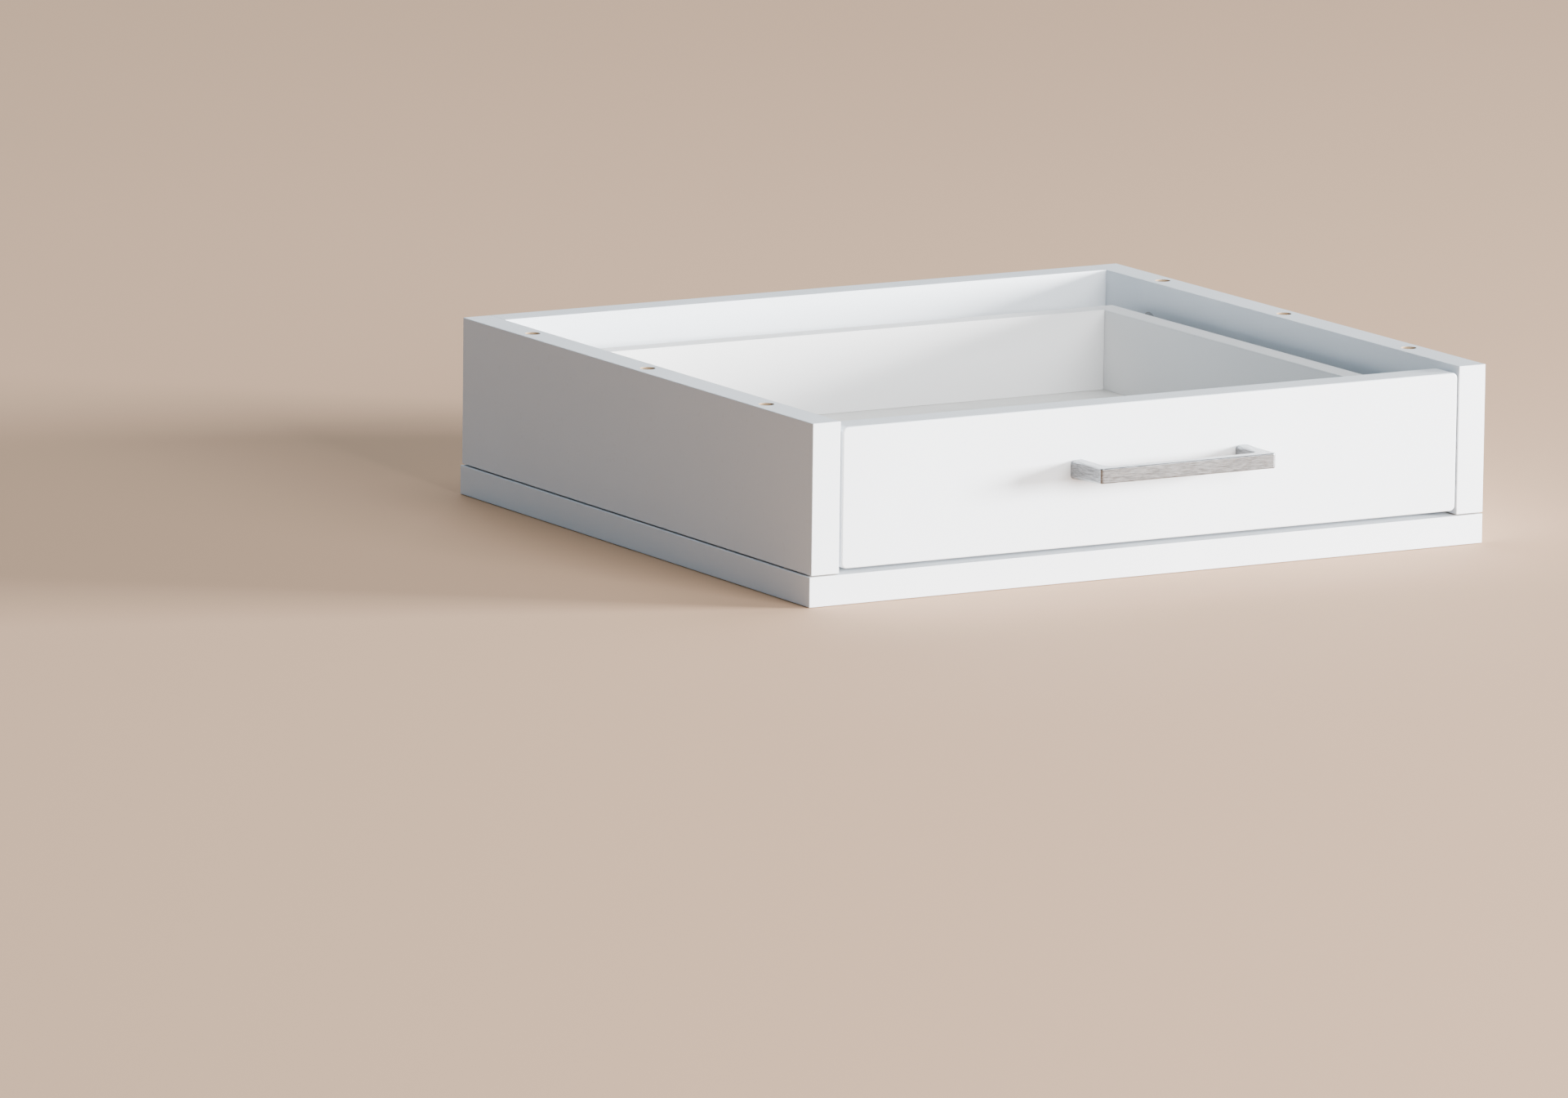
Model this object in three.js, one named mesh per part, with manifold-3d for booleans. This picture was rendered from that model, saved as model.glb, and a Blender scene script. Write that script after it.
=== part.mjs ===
// An under-desk drawer: an open-topped case that hangs below a desk top, and one inset drawer on roller slides.
// Millimetres, +Z up, the front faces -Y. The origin is the middle of the footprint at the case's underside.
import * as THREE from "three";
import { mergeVertices } from "three/addons/utils/BufferGeometryUtils.js";
import Module from "manifold-3d";

const wasm = await Module();
wasm.setup();

// ---- Case ----
const CASE_WIDTH = 400;
const CASE_DEPTH = 360;
const CASE_HEIGHT = 93;
const BOARD = 16;
const BOTTOM_OVERHANG = 1; // the bottom panel stands this far proud of the left upright
const UPRIGHT_HEIGHT = CASE_HEIGHT - BOARD;
const OPENING_WIDTH = CASE_WIDTH - BOTTOM_OVERHANG - 2 * BOARD;
const OPENING_HALF = OPENING_WIDTH / 2;
const OPENING_CENTRE_X = BOTTOM_OVERHANG / 2;
const UPRIGHT_MIDDLE = OPENING_HALF + BOARD / 2; // from the middle of the opening

// ---- Drawer ----
const FRONT_BOARD = 16.75;
const FRONT_RECESS = 0.25;
const FRONT_LEFT_GAP = 1.5;
const FRONT_RIGHT_GAP = 0.75;
const FRONT_BOTTOM_GAP = 2;
const FRONT_TOP_GAP = 3.25;
const FRONT_CORNER_RADIUS = 3;
const FRONT_WIDTH = OPENING_WIDTH - FRONT_LEFT_GAP - FRONT_RIGHT_GAP;
const FRONT_MIDDLE_X = (FRONT_LEFT_GAP - FRONT_RIGHT_GAP) / 2; // from the middle of the opening
const FRONT_HEIGHT = UPRIGHT_HEIGHT - FRONT_BOTTOM_GAP - FRONT_TOP_GAP;
const FRONT_BASE_Z = BOARD + FRONT_BOTTOM_GAP;
const BOX_FRONT_Y = FRONT_RECESS + FRONT_BOARD;
const BOX_BOARD = 12;
const BOX_LENGTH = 300;
const BOX_HEIGHT = 52;
const BOX_BASE_Z = 27;
const SLIDE_SPACE = 12.75; // between an upright and the drawer's side
const BOX_HALF = OPENING_HALF - SLIDE_SPACE;
const BOX_INNER_HALF = BOX_HALF - BOX_BOARD;
const BOX_SIDE_MIDDLE = BOX_HALF - BOX_BOARD / 2;
const BOX_BACK_Y = BOX_FRONT_Y + BOX_LENGTH - BOX_BOARD;
const BOTTOM_SHEET = 3;
const BOTTOM_SHEET_Z = 33;
const GROOVE_DEPTH = 6;
const GROOVE_PLAY = 0.125;
const SHEET_IN_GROOVE = 5.5;

// ---- Handle ----
const HANDLE_HOLES = 96; // centre to centre
const HANDLE_FOOT = 8;
const HANDLE_REACH = 27.25;
const HANDLE_BAR = 6;
const HANDLE_HEIGHT = 7.75;
const HANDLE_Z = 58.25;
const HANDLE_X = 4.5; // to the right of the middle of the opening

// ---- Roller slides, measured from the upright's inner face (u) and from the case's underside (z) ----
const STEEL = 1.25;
const CASE_RAIL_START_Y = 18;
const CASE_RAIL_LENGTH = 300;
const TRACK_Z = 23.25; // the rear roller runs on this
const TRACK_WIDTH = 10.5;
const TRACK_CLEAR_HEIGHT = 15.5;
const STOP_Y = 70; // the track's upper flange starts here, with the stop turned down
const STOP_DROP = 2.25;
const DRAWER_RAIL_START_Y = 19.5;
const DRAWER_RAIL_LENGTH = 296.5;
const DRAWER_FLANGE_Z = 41; // its underside rides on the front roller
const DRAWER_FLANGE_START_U = 3;
const DRAWER_WEB_U = SLIDE_SPACE - STEEL;
const ROLLER_PLAY = 0.05;
const ROLLER_WIDTH = 6.5;
const AXLE_RADIUS = 2;
const AXLE_HEAD_RADIUS = 3.25;
const AXLE_PLAY = 0.1;
const FRONT_ROLLER = { radius: 8.5, y: CASE_RAIL_START_Y + 11, startU: 3 };
const REAR_ROLLER = { radius: 7.5, y: BOX_FRONT_Y + BOX_LENGTH - 12, startU: 3.6 };
FRONT_ROLLER.z = DRAWER_FLANGE_Z - ROLLER_PLAY - FRONT_ROLLER.radius;
REAR_ROLLER.z = TRACK_Z + ROLLER_PLAY + REAR_ROLLER.radius;

// ---- Fasteners ----
const HOLE_PLAY = 0.1; // radial, round a fastener that fills its hole
const CAM = { radius: 7.5, depth: 12.5, fromEdge: 24, mouth: 7 };
const DRAWER_CAM = { radius: 6, depth: 9.5, fromEdge: 24, mouth: 6 };
const CAM_SEGMENTS = 20;
const STUD = { thread: 2.5, threadLength: 10.5, neck: 1.6, head: 2.6, headLength: 3 };
const STUD_BORE_RADIUS = 4;
const DOWEL = { radius: 4, length: 30, inPanel: 9.5 };
const DOWEL_BORE_RADIUS = DOWEL.radius + HOLE_PLAY;
const DRAWER_DOWEL = { radius: 3, length: 25, inPanel: 9.5 };
const CONNECTOR = { length: 50, head: 4.9, headLength: 3.5, shank: 3.4, thread: 3.1 };
const CONNECTOR_SINK = 0.25;
const RAIL_SCREW = { length: 12, shank: 1.6, head: 3.25, headHeight: 1 };
const BACK_SCREW = { length: 30, shank: 1.7, head: 3.4, headHeight: 2 };
const HANDLE_SCREW = { length: 23, shank: 1.9, head: 4, headHeight: 2.5 };

// Where the fasteners stand, from the case's front plane and its underside.
const TOP_CAM_YS = [60, 300];
const TOP_DOWEL_Y = 180;
const CONNECTOR_YS = [50, 310];
const BOTTOM_DOWEL_YS = [90, 270];
const CASE_RAIL_SCREW_YS = [118, 246];
const DRAWER_RAIL_SCREW_YS = [80, 240];
const DRAWER_RAIL_SCREW_INSET = 4; // from the drawer side's outer face, clear of the groove
const BACK_MIDDLE_Y = CASE_DEPTH - BOARD / 2;
const BACK_CAM_Z = 40;
const BACK_DOWEL_Z = 72;
const DRAWER_CAM_Z = 62;
const DRAWER_DOWEL_Z = 47;
const BACK_SCREW_ZS = [41, 65];

// ---- Finishes ----
const finish = (color, roughness, metalness) => new THREE.MeshStandardMaterial({ color, roughness, metalness });
const whiteBoard = finish(0xececea, 0.42, 0);
const whiteSheet = finish(0xe8e7e3, 0.55, 0);
const brushedSteel = finish(0xb4b4b2, 0.35, 1);
const coatedSteel = finish(0xe4e4e0, 0.45, 0);
const nylon = finish(0xf2efe6, 0.5, 0);
const zinc = finish(0xa9abae, 0.4, 1);
const beech = finish(0xd2ab7b, 0.7, 0);

// ---- Solids ----
function toSolid(geometry) {
  const bare = geometry.clone();
  for (const name of Object.keys(bare.attributes)) {
    if (name !== "position") bare.deleteAttribute(name);
  }
  const merged = mergeVertices(bare, 1e-4);
  return new wasm.Manifold(
    new wasm.Mesh({
      numProp: 3,
      vertProperties: new Float32Array(merged.attributes.position.array),
      triVerts: new Uint32Array(merged.index.array),
    }),
  );
}

function toGeometry(solid) {
  const mesh = solid.getMesh();
  const geometry = new THREE.BufferGeometry();
  geometry.setAttribute("position", new THREE.BufferAttribute(mesh.vertProperties, 3));
  geometry.setIndex(new THREE.BufferAttribute(mesh.triVerts, 1));
  geometry.computeVertexNormals();
  return geometry;
}

const cut = (geometry, ...tools) =>
  toGeometry(tools.reduce((solid, tool) => solid.subtract(toSolid(tool)), toSolid(geometry)));

const join = (geometry, ...others) =>
  toGeometry(others.reduce((solid, other) => solid.add(toSolid(other)), toSolid(geometry)));

// A block from one corner to the opposite one.
function block([x0, y0, z0], [x1, y1, z1]) {
  return new THREE.BoxGeometry(x1 - x0, y1 - y0, z1 - z0).translate((x0 + x1) / 2, (y0 + y1) / 2, (z0 + z1) / 2);
}

// A drill of the given radius along an axis, from one point on it to another.
function drill(axis, radius, [x, y, z], to, segments = 12) {
  const from = { x, y, z }[axis];
  const length = to - from;
  const rod = new THREE.CylinderGeometry(radius, radius, Math.abs(length), segments);
  if (axis === "x") rod.rotateZ(Math.PI / 2);
  if (axis === "z") rod.rotateX(Math.PI / 2);
  rod.translate(x, y, z);
  const shift = { x: [length / 2, 0, 0], y: [0, length / 2, 0], z: [0, 0, length / 2] }[axis];
  return rod.translate(...shift);
}

// A solid of revolution about +Z from (radius, height) pairs that start and end on the axis, or close on themselves.
function turned(profile, segments = 12) {
  const points = profile.map(([radius, height]) => new THREE.Vector2(radius, height));
  return new THREE.LatheGeometry(points, segments).rotateX(Math.PI / 2);
}

const ring = (profile, segments) => turned([...profile, profile[0]], segments);

// A section in the X-Z plane, given as (x, z) pairs, drawn out along +Y.
function extruded(section, length) {
  const shape = new THREE.Shape(section.map(([x, z]) => new THREE.Vector2(x, z)));
  const geometry = new THREE.ExtrudeGeometry(shape, { depth: length, bevelEnabled: false });
  return geometry.rotateX(Math.PI / 2).translate(0, length, 0);
}

// A driver's cross-shaped recess, sunk from the plane z = 0 downwards.
function crossRecess(reach, width, depth) {
  const bar = () => block([-reach, -width / 2, -depth], [reach, width / 2, 0.5]);
  return join(bar(), bar().rotateZ(Math.PI / 2));
}

function place(parent, name, geometry, material, position, rotation = [0, 0, 0]) {
  const mesh = new THREE.Mesh(geometry, material);
  mesh.name = name;
  mesh.position.set(...position);
  mesh.rotation.set(...rotation);
  parent.add(mesh);
  return mesh;
}

// ---- Fastener shapes: each stands on the plane z = 0, with its working end towards -Z ----
const TOWARDS_PLUS_X = [0, Math.PI / 2, 0]; // turns a shape's +Z to +X
const TOWARDS_MINUS_X = [0, -Math.PI / 2, 0];
const TOWARDS_PLUS_Y = [-Math.PI / 2, 0, 0];
const UPSIDE_DOWN = [Math.PI, 0, 0];

// A cam lock: its face is at z = 0, and its mouth for the stud opens towards +Y.
function camLock({ radius, depth, mouth }) {
  const faceThickness = 3;
  const drum = turned([[0, -depth], [radius, -depth], [radius, 0], [0, 0]], CAM_SEGMENTS);
  const channel = block([-mouth / 2, -mouth / 2, -depth - 1], [mouth / 2, radius + 1, -faceThickness]);
  return cut(drum, channel, crossRecess(radius * 0.55, 1.4, 1.8));
}

// A cam stud: its thread is below z = 0, and its head above, at the middle of the cam.
function camStud(reach) {
  const { thread, threadLength, neck, head, headLength } = STUD;
  const collar = 1.5;
  const headBase = reach - headLength / 2;
  return turned([
    [0, -threadLength], [thread * 0.5, -threadLength], [thread, -threadLength + 2], [thread, 0], [head + 0.6, 0],
    [head + 0.6, collar], [neck, collar + 0.8], [neck, headBase - 0.8], [head, headBase], [head, headBase + 2],
    [head * 0.6, headBase + headLength], [0, headBase + headLength],
  ], 10);
}

function dowel({ radius, length }) {
  const chamfer = 0.8;
  return turned([
    [0, 0], [radius - chamfer, 0], [radius, chamfer], [radius, length - chamfer], [radius - chamfer, length],
    [0, length],
  ]);
}

// A one-piece furniture connector, driven upwards: its head's flat is at z = 0 and its tip above.
function connectorScrew() {
  const { length, head, headLength, shank, thread } = CONNECTOR;
  const hexKey = 2.3;
  const body = turned([
    [0, 0], [head, 0], [head, headLength - 1], [shank, headLength], [shank, 12], [thread, 13],
    [thread, length - 4], [0.8, length], [0, length],
  ]);
  return cut(body, drill("z", hexKey, [0, 0, -1], 2.6, 6));
}

function panScrew({ length, shank, head, headHeight }) {
  const body = turned([
    [0, -length], [shank, -length + 3], [shank, 0], [head, 0], [head, headHeight * 0.4],
    [head * 0.6, headHeight], [0, headHeight],
  ], 10);
  return cut(body, crossRecess(head * 0.45, 0.7, 0.7).translate(0, 0, headHeight));
}

function countersunkScrew({ length, shank, head, headHeight }) {
  const body = turned([
    [0, -length], [shank, -length + 4], [shank, -headHeight], [head, -0.3], [head, 0], [0, 0],
  ]);
  return cut(body, crossRecess(head * 0.5, 0.8, 1.2));
}

// ---- Boards of the case: each has its lowest, front, left corner at its own origin ----
function bottomPanel() {
  const holes = [];
  for (const side of [-1, 1]) {
    const x = CASE_WIDTH / 2 + OPENING_CENTRE_X + side * UPRIGHT_MIDDLE;
    for (const y of CONNECTOR_YS) {
      holes.push(drill("z", CONNECTOR.head + HOLE_PLAY, [x, y, -1], CONNECTOR_SINK + CONNECTOR.headLength + 0.25));
      holes.push(drill("z", CONNECTOR.shank + HOLE_PLAY, [x, y, 0], BOARD + 1));
    }
    for (const y of BOTTOM_DOWEL_YS) {
      holes.push(drill("z", DOWEL_BORE_RADIUS, [x, y, BOARD - DOWEL.inPanel - 0.5], BOARD + 1));
    }
  }
  return cut(block([0, 0, 0], [CASE_WIDTH, CASE_DEPTH, BOARD]), ...holes);
}

// The left upright: its inner face is at x = BOARD. The right one is its mirror image.
function upright() {
  const middle = BOARD / 2;
  const face = BOARD + 1;
  const camZ = UPRIGHT_HEIGHT - CAM.fromEdge;
  const holes = [drill("z", STUD_BORE_RADIUS, [middle, TOP_DOWEL_Y, UPRIGHT_HEIGHT - 21], UPRIGHT_HEIGHT + 1)];
  for (const y of TOP_CAM_YS) {
    holes.push(drill("x", CAM.radius + HOLE_PLAY, [BOARD - CAM.depth - 0.25, y, camZ], face, CAM_SEGMENTS));
    holes.push(drill("z", STUD_BORE_RADIUS, [middle, y, camZ], UPRIGHT_HEIGHT + 1));
  }
  for (const y of CONNECTOR_YS) {
    holes.push(drill("z", CONNECTOR.shank + HOLE_PLAY, [middle, y, -1], CONNECTOR.length - BOARD + 1));
  }
  for (const y of BOTTOM_DOWEL_YS) {
    holes.push(drill("z", DOWEL_BORE_RADIUS, [middle, y, -1], DOWEL.length - DOWEL.inPanel + 0.5));
  }
  for (const y of CASE_RAIL_SCREW_YS) {
    const z = REAR_ROLLER.z - BOARD;
    holes.push(drill("x", RAIL_SCREW.shank + HOLE_PLAY, [BOARD - RAIL_SCREW.length, y, z], face, 12));
  }
  const studHole = STUD.thread + HOLE_PLAY;
  holes.push(drill("x", studHole, [BOARD - STUD.threadLength - 0.5, BACK_MIDDLE_Y, BACK_CAM_Z - BOARD], face));
  const dowelHoleEnd = BOARD - DOWEL.inPanel - 0.5;
  holes.push(drill("x", DOWEL_BORE_RADIUS, [dowelHoleEnd, BACK_MIDDLE_Y, BACK_DOWEL_Z - BOARD], face));
  return cut(block([0, 0, 0], [BOARD, CASE_DEPTH, UPRIGHT_HEIGHT]), ...holes);
}

function backPanel() {
  const camZ = BACK_CAM_Z - BOARD;
  const dowelZ = BACK_DOWEL_Z - BOARD;
  const dowelDepth = DOWEL.length - DOWEL.inPanel + 0.5;
  const holes = [];
  for (const [end, inward] of [[0, 1], [OPENING_WIDTH, -1]]) {
    const camX = end + inward * CAM.fromEdge;
    const outside = end - inward;
    holes.push(drill("x", STUD_BORE_RADIUS, [outside, BOARD / 2, camZ], camX));
    const camFloor = BOARD - CAM.depth - 0.25;
    holes.push(drill("y", CAM.radius + HOLE_PLAY, [camX, camFloor, camZ], BOARD + 1, CAM_SEGMENTS));
    holes.push(drill("x", DOWEL_BORE_RADIUS, [outside, BOARD / 2, dowelZ], end + inward * dowelDepth));
  }
  return cut(block([0, 0, 0], [OPENING_WIDTH, BOARD, UPRIGHT_HEIGHT]), ...holes);
}

// ---- Slides, for the left-hand side: x is u, the distance from the upright's inner face ----
// The case's rail is a channel that opens towards the drawer. Ahead of the stop only its web and track go on.
function caseRail() {
  const topZ = TRACK_Z + TRACK_CLEAR_HEIGHT;
  const bottomZ = TRACK_Z - STEEL;
  const channel = extruded([
    [0, bottomZ], [TRACK_WIDTH, bottomZ], [TRACK_WIDTH, TRACK_Z], [STEEL, TRACK_Z], [STEEL, topZ],
    [TRACK_WIDTH, topZ], [TRACK_WIDTH, topZ + STEEL], [0, topZ + STEEL],
  ], CASE_RAIL_LENGTH);
  const stopY = STOP_Y - CASE_RAIL_START_Y;
  const stop = block([STEEL - 0.25, stopY, topZ - STOP_DROP], [TRACK_WIDTH, stopY + STEEL, topZ + STEEL]);
  const openFront = block([STEEL, -1, topZ - 0.25], [TRACK_WIDTH + 1, stopY, topZ + STEEL + 1]);
  const web = [-1, STEEL + 1];
  const holes = CASE_RAIL_SCREW_YS.map((y) =>
    drill("x", RAIL_SCREW.shank + HOLE_PLAY, [web[0], y - CASE_RAIL_START_Y, REAR_ROLLER.z], web[1], 12),
  );
  const axleY = FRONT_ROLLER.y - CASE_RAIL_START_Y;
  holes.push(drill("x", AXLE_RADIUS + AXLE_PLAY, [web[0], axleY, FRONT_ROLLER.z], web[1]));
  for (const y of [78, 158, 268]) {
    holes.push(slot(web, y, REAR_ROLLER.z, 2.2, 7));
  }
  return cut(join(channel, stop), openFront, ...holes);
}

// A slotted hole through a web, for setting the rail: length is between the centres of its round ends.
function slot([u0, u1], y, z, radius, length) {
  return join(
    drill("x", radius, [u0, y - length / 2, z], u1, 12),
    drill("x", radius, [u0, y + length / 2, z], u1, 12),
    block([u0, y - length / 2, z - radius], [u1, y + length / 2, z + radius]),
  );
}

// The drawer's rail: a leg under the drawer's side, a web up its outer face and a flange outwards over the front roller.
function drawerRail() {
  const legZ = BOX_BASE_Z - STEEL;
  const legEnd = SLIDE_SPACE + BOX_BOARD - 1;
  const profile = extruded([
    [DRAWER_WEB_U, legZ], [legEnd, legZ], [legEnd, BOX_BASE_Z], [SLIDE_SPACE, BOX_BASE_Z],
    [SLIDE_SPACE, DRAWER_FLANGE_Z + STEEL], [DRAWER_FLANGE_START_U, DRAWER_FLANGE_Z + STEEL],
    [DRAWER_FLANGE_START_U, DRAWER_FLANGE_Z], [DRAWER_WEB_U, DRAWER_FLANGE_Z],
  ], DRAWER_RAIL_LENGTH);
  const screwU = SLIDE_SPACE + DRAWER_RAIL_SCREW_INSET;
  const holes = DRAWER_RAIL_SCREW_YS.map((y) =>
    drill("z", RAIL_SCREW.shank + HOLE_PLAY, [screwU, y - DRAWER_RAIL_START_Y, legZ - 1], BOX_BASE_Z + 1, 12),
  );
  const axleY = REAR_ROLLER.y - DRAWER_RAIL_START_Y;
  holes.push(drill("x", AXLE_RADIUS + AXLE_PLAY, [DRAWER_WEB_U - 1, axleY, REAR_ROLLER.z], SLIDE_SPACE + 1));
  return cut(profile, ...holes);
}

// A nylon roller about +Z, from z = 0 to ROLLER_WIDTH, with a dished face and a softened tread.
function roller(radius) {
  const bore = AXLE_RADIUS + AXLE_PLAY;
  const hub = AXLE_HEAD_RADIUS + 0.75;
  const rim = radius - 1.75;
  const soft = 0.5;
  const dish = 0.75;
  return ring([
    [bore, 0], [hub, 0], [hub + 0.5, dish], [rim - 0.5, dish], [rim, 0], [radius - soft, 0], [radius, soft],
    [radius, ROLLER_WIDTH - soft], [radius - soft, ROLLER_WIDTH], [rim, ROLLER_WIDTH],
    [rim - 0.5, ROLLER_WIDTH - dish], [hub + 0.5, ROLLER_WIDTH - dish], [hub, ROLLER_WIDTH], [bore, ROLLER_WIDTH],
  ], 24);
}

// An axle riveted into a web that is STEEL thick: the web's far face is at z = 0, the roller sits past the collar.
function axle(collarEnd) {
  const headStart = collarEnd + ROLLER_WIDTH + 0.4;
  return turned([
    [0, 0], [AXLE_RADIUS, 0], [AXLE_RADIUS, STEEL], [AXLE_HEAD_RADIUS, STEEL], [AXLE_HEAD_RADIUS, collarEnd],
    [AXLE_RADIUS, collarEnd], [AXLE_RADIUS, headStart], [AXLE_HEAD_RADIUS, headStart],
    [AXLE_HEAD_RADIUS, headStart + 0.4], [AXLE_RADIUS, headStart + 0.75], [0, headStart + 0.75],
  ]);
}

// ---- Boards of the drawer: x = 0 is the drawer's middle ----
const grooveFrom = BOTTOM_SHEET_Z - GROOVE_PLAY;
const grooveTo = BOTTOM_SHEET_Z + BOTTOM_SHEET + GROOVE_PLAY;

function drawerFront() {
  const half = FRONT_WIDTH / 2;
  const r = FRONT_CORNER_RADIUS;
  const face = new THREE.Shape();
  face.moveTo(-half + r, 0);
  face.lineTo(half - r, 0);
  face.absarc(half - r, r, r, -Math.PI / 2, 0, false);
  face.lineTo(half, FRONT_HEIGHT - r);
  face.absarc(half - r, FRONT_HEIGHT - r, r, 0, Math.PI / 2, false);
  face.lineTo(-half + r, FRONT_HEIGHT);
  face.absarc(-half + r, FRONT_HEIGHT - r, r, Math.PI / 2, Math.PI, false);
  face.lineTo(-half, r);
  face.absarc(-half + r, r, r, Math.PI, Math.PI * 1.5, false);
  const slab = new THREE.ExtrudeGeometry(face, { depth: FRONT_BOARD, bevelEnabled: false, curveSegments: 4 });
  slab.rotateX(Math.PI / 2).translate(FRONT_MIDDLE_X, FRONT_BOARD, 0);
  const grooveEnd = BOX_INNER_HALF + GROOVE_DEPTH;
  const holes = [
    block(
      [-grooveEnd, FRONT_BOARD - GROOVE_DEPTH, grooveFrom - FRONT_BASE_Z],
      [grooveEnd, FRONT_BOARD + 1, grooveTo - FRONT_BASE_Z],
    ),
  ];
  for (const side of [-1, 1]) {
    const handleX = HANDLE_X + (side * HANDLE_HOLES) / 2;
    const studX = side * BOX_SIDE_MIDDLE;
    const studEnd = FRONT_BOARD - STUD.threadLength - 0.5;
    const dowelEnd = FRONT_BOARD - DRAWER_DOWEL.inPanel - 0.5;
    const dowelBore = DRAWER_DOWEL.radius + HOLE_PLAY;
    holes.push(drill("y", HANDLE_SCREW.shank + 0.35, [handleX, -1, HANDLE_Z - FRONT_BASE_Z], FRONT_BOARD + 1));
    holes.push(drill("y", STUD.thread + HOLE_PLAY, [studX, studEnd, DRAWER_CAM_Z - FRONT_BASE_Z], FRONT_BOARD + 1));
    holes.push(drill("y", dowelBore, [studX, dowelEnd, DRAWER_DOWEL_Z - FRONT_BASE_Z], FRONT_BOARD + 1));
  }
  return cut(slab, ...holes);
}

// The left side: its outer face is at x = 0 and its inner face at x = BOX_BOARD.
function drawerSide() {
  const z = (height) => height - BOX_BASE_Z;
  const middle = BOX_BOARD / 2;
  const backY = BOX_LENGTH - BOX_BOARD / 2;
  const camBore = DRAWER_CAM.radius + HOLE_PLAY;
  const dowelBore = DRAWER_DOWEL.radius + HOLE_PLAY;
  const { head, headHeight, shank } = BACK_SCREW;
  const holes = [
    block([BOX_BOARD - GROOVE_DEPTH, -1, z(grooveFrom)], [BOX_BOARD + 1, BOX_LENGTH + 1, z(grooveTo)]),
    drill("y", 3.5, [middle, -1, z(DRAWER_CAM_Z)], DRAWER_CAM.fromEdge),
    drill("x", camBore, [-1, DRAWER_CAM.fromEdge, z(DRAWER_CAM_Z)], DRAWER_CAM.depth + 0.25, CAM_SEGMENTS),
    drill("y", dowelBore, [middle, -1, z(DRAWER_DOWEL_Z)], DRAWER_DOWEL.length - DRAWER_DOWEL.inPanel + 0.5),
  ];
  for (const height of BACK_SCREW_ZS) {
    const bottom = -headHeight - HOLE_PLAY;
    const wide = head + HOLE_PLAY;
    const sink = turned([[0, bottom], [shank + HOLE_PLAY, bottom], [wide, -0.5], [wide, 1], [0, 1]], 12);
    holes.push(sink.rotateY(-Math.PI / 2).translate(0, backY, z(height)));
    holes.push(drill("x", shank + HOLE_PLAY, [-1, backY, z(height)], BOX_BOARD + 1, 12));
  }
  for (const y of DRAWER_RAIL_SCREW_YS) {
    const x = DRAWER_RAIL_SCREW_INSET;
    holes.push(drill("z", RAIL_SCREW.shank + HOLE_PLAY, [x, y - BOX_FRONT_Y, -1], RAIL_SCREW.length, 12));
  }
  return cut(block([0, 0, 0], [BOX_BOARD, BOX_LENGTH, BOX_HEIGHT]), ...holes);
}

function drawerBack() {
  const width = 2 * BOX_INNER_HALF;
  const z = (height) => height - BOX_BASE_Z;
  const grooveTool = block([-1, -1, z(grooveFrom)], [width + 1, GROOVE_DEPTH, z(grooveTo)]);
  const pilot = BACK_SCREW.length - BOX_BOARD + 1;
  const holes = BACK_SCREW_ZS.flatMap((height) => [
    drill("x", BACK_SCREW.shank + HOLE_PLAY, [-1, BOX_BOARD / 2, z(height)], pilot, 12),
    drill("x", BACK_SCREW.shank + HOLE_PLAY, [width - pilot, BOX_BOARD / 2, z(height)], width + 1, 12),
  ]);
  return cut(block([0, 0, 0], [width, BOX_BOARD, BOX_HEIGHT]), grooveTool, ...holes);
}

function drawerBottom() {
  const half = BOX_INNER_HALF + SHEET_IN_GROOVE;
  const length = BOX_LENGTH - BOX_BOARD + 2 * SHEET_IN_GROOVE;
  return block([-half, 0, 0], [half, length, BOTTOM_SHEET]);
}

// A square bow handle, seen from above as a flat U: its feet stand on the plane y = 0 and its bar lies at -y.
function handle() {
  const half = HANDLE_HOLES / 2 + HANDLE_FOOT / 2;
  const innerHalf = half - 7;
  const inside = -HANDLE_REACH + HANDLE_BAR;
  const outerRadius = 1.5;
  const innerRadius = 10;
  const flare = 0.35; // the feet widen towards the drawer, a little inward
  const spread = 1.3; // and more outward
  const edge = 0.5;
  const plan = new THREE.Shape();
  plan.moveTo(-half - spread, 0);
  plan.quadraticCurveTo(-half, -3.5, -half, -9);
  plan.lineTo(-half, -HANDLE_REACH + outerRadius);
  plan.absarc(-half + outerRadius, -HANDLE_REACH + outerRadius, outerRadius, Math.PI, Math.PI * 1.5, false);
  plan.lineTo(half - outerRadius, -HANDLE_REACH);
  plan.absarc(half - outerRadius, -HANDLE_REACH + outerRadius, outerRadius, -Math.PI / 2, 0, false);
  plan.lineTo(half, -9);
  plan.quadraticCurveTo(half, -3.5, half + spread, 0);
  plan.lineTo(innerHalf - flare, 0);
  plan.quadraticCurveTo(innerHalf, -3, innerHalf, -8);
  plan.lineTo(innerHalf, inside + innerRadius);
  plan.quadraticCurveTo(innerHalf, inside, innerHalf - innerRadius, inside);
  plan.lineTo(-innerHalf + innerRadius, inside);
  plan.quadraticCurveTo(-innerHalf, inside, -innerHalf, inside + innerRadius);
  plan.lineTo(-innerHalf, -8);
  plan.quadraticCurveTo(-innerHalf, -3, -innerHalf + flare, 0);
  plan.closePath();
  const bow = new THREE.ExtrudeGeometry(plan, {
    depth: HANDLE_HEIGHT - 2 * edge,
    bevelThickness: edge,
    bevelSize: edge,
    bevelOffset: -edge,
    bevelSegments: 1,
    curveSegments: 4,
  });
  bow.translate(0, 0, -HANDLE_HEIGHT / 2 + edge);
  deepenFeet(bow, 10, 0.45, 0.1);
  const tap = HANDLE_SCREW.shank + HOLE_PLAY;
  const holes = [-1, 1].map((side) => drill("y", tap, [(side * HANDLE_HOLES) / 2, -9, 0], 1));
  return cut(bow, ...holes);
}

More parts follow.
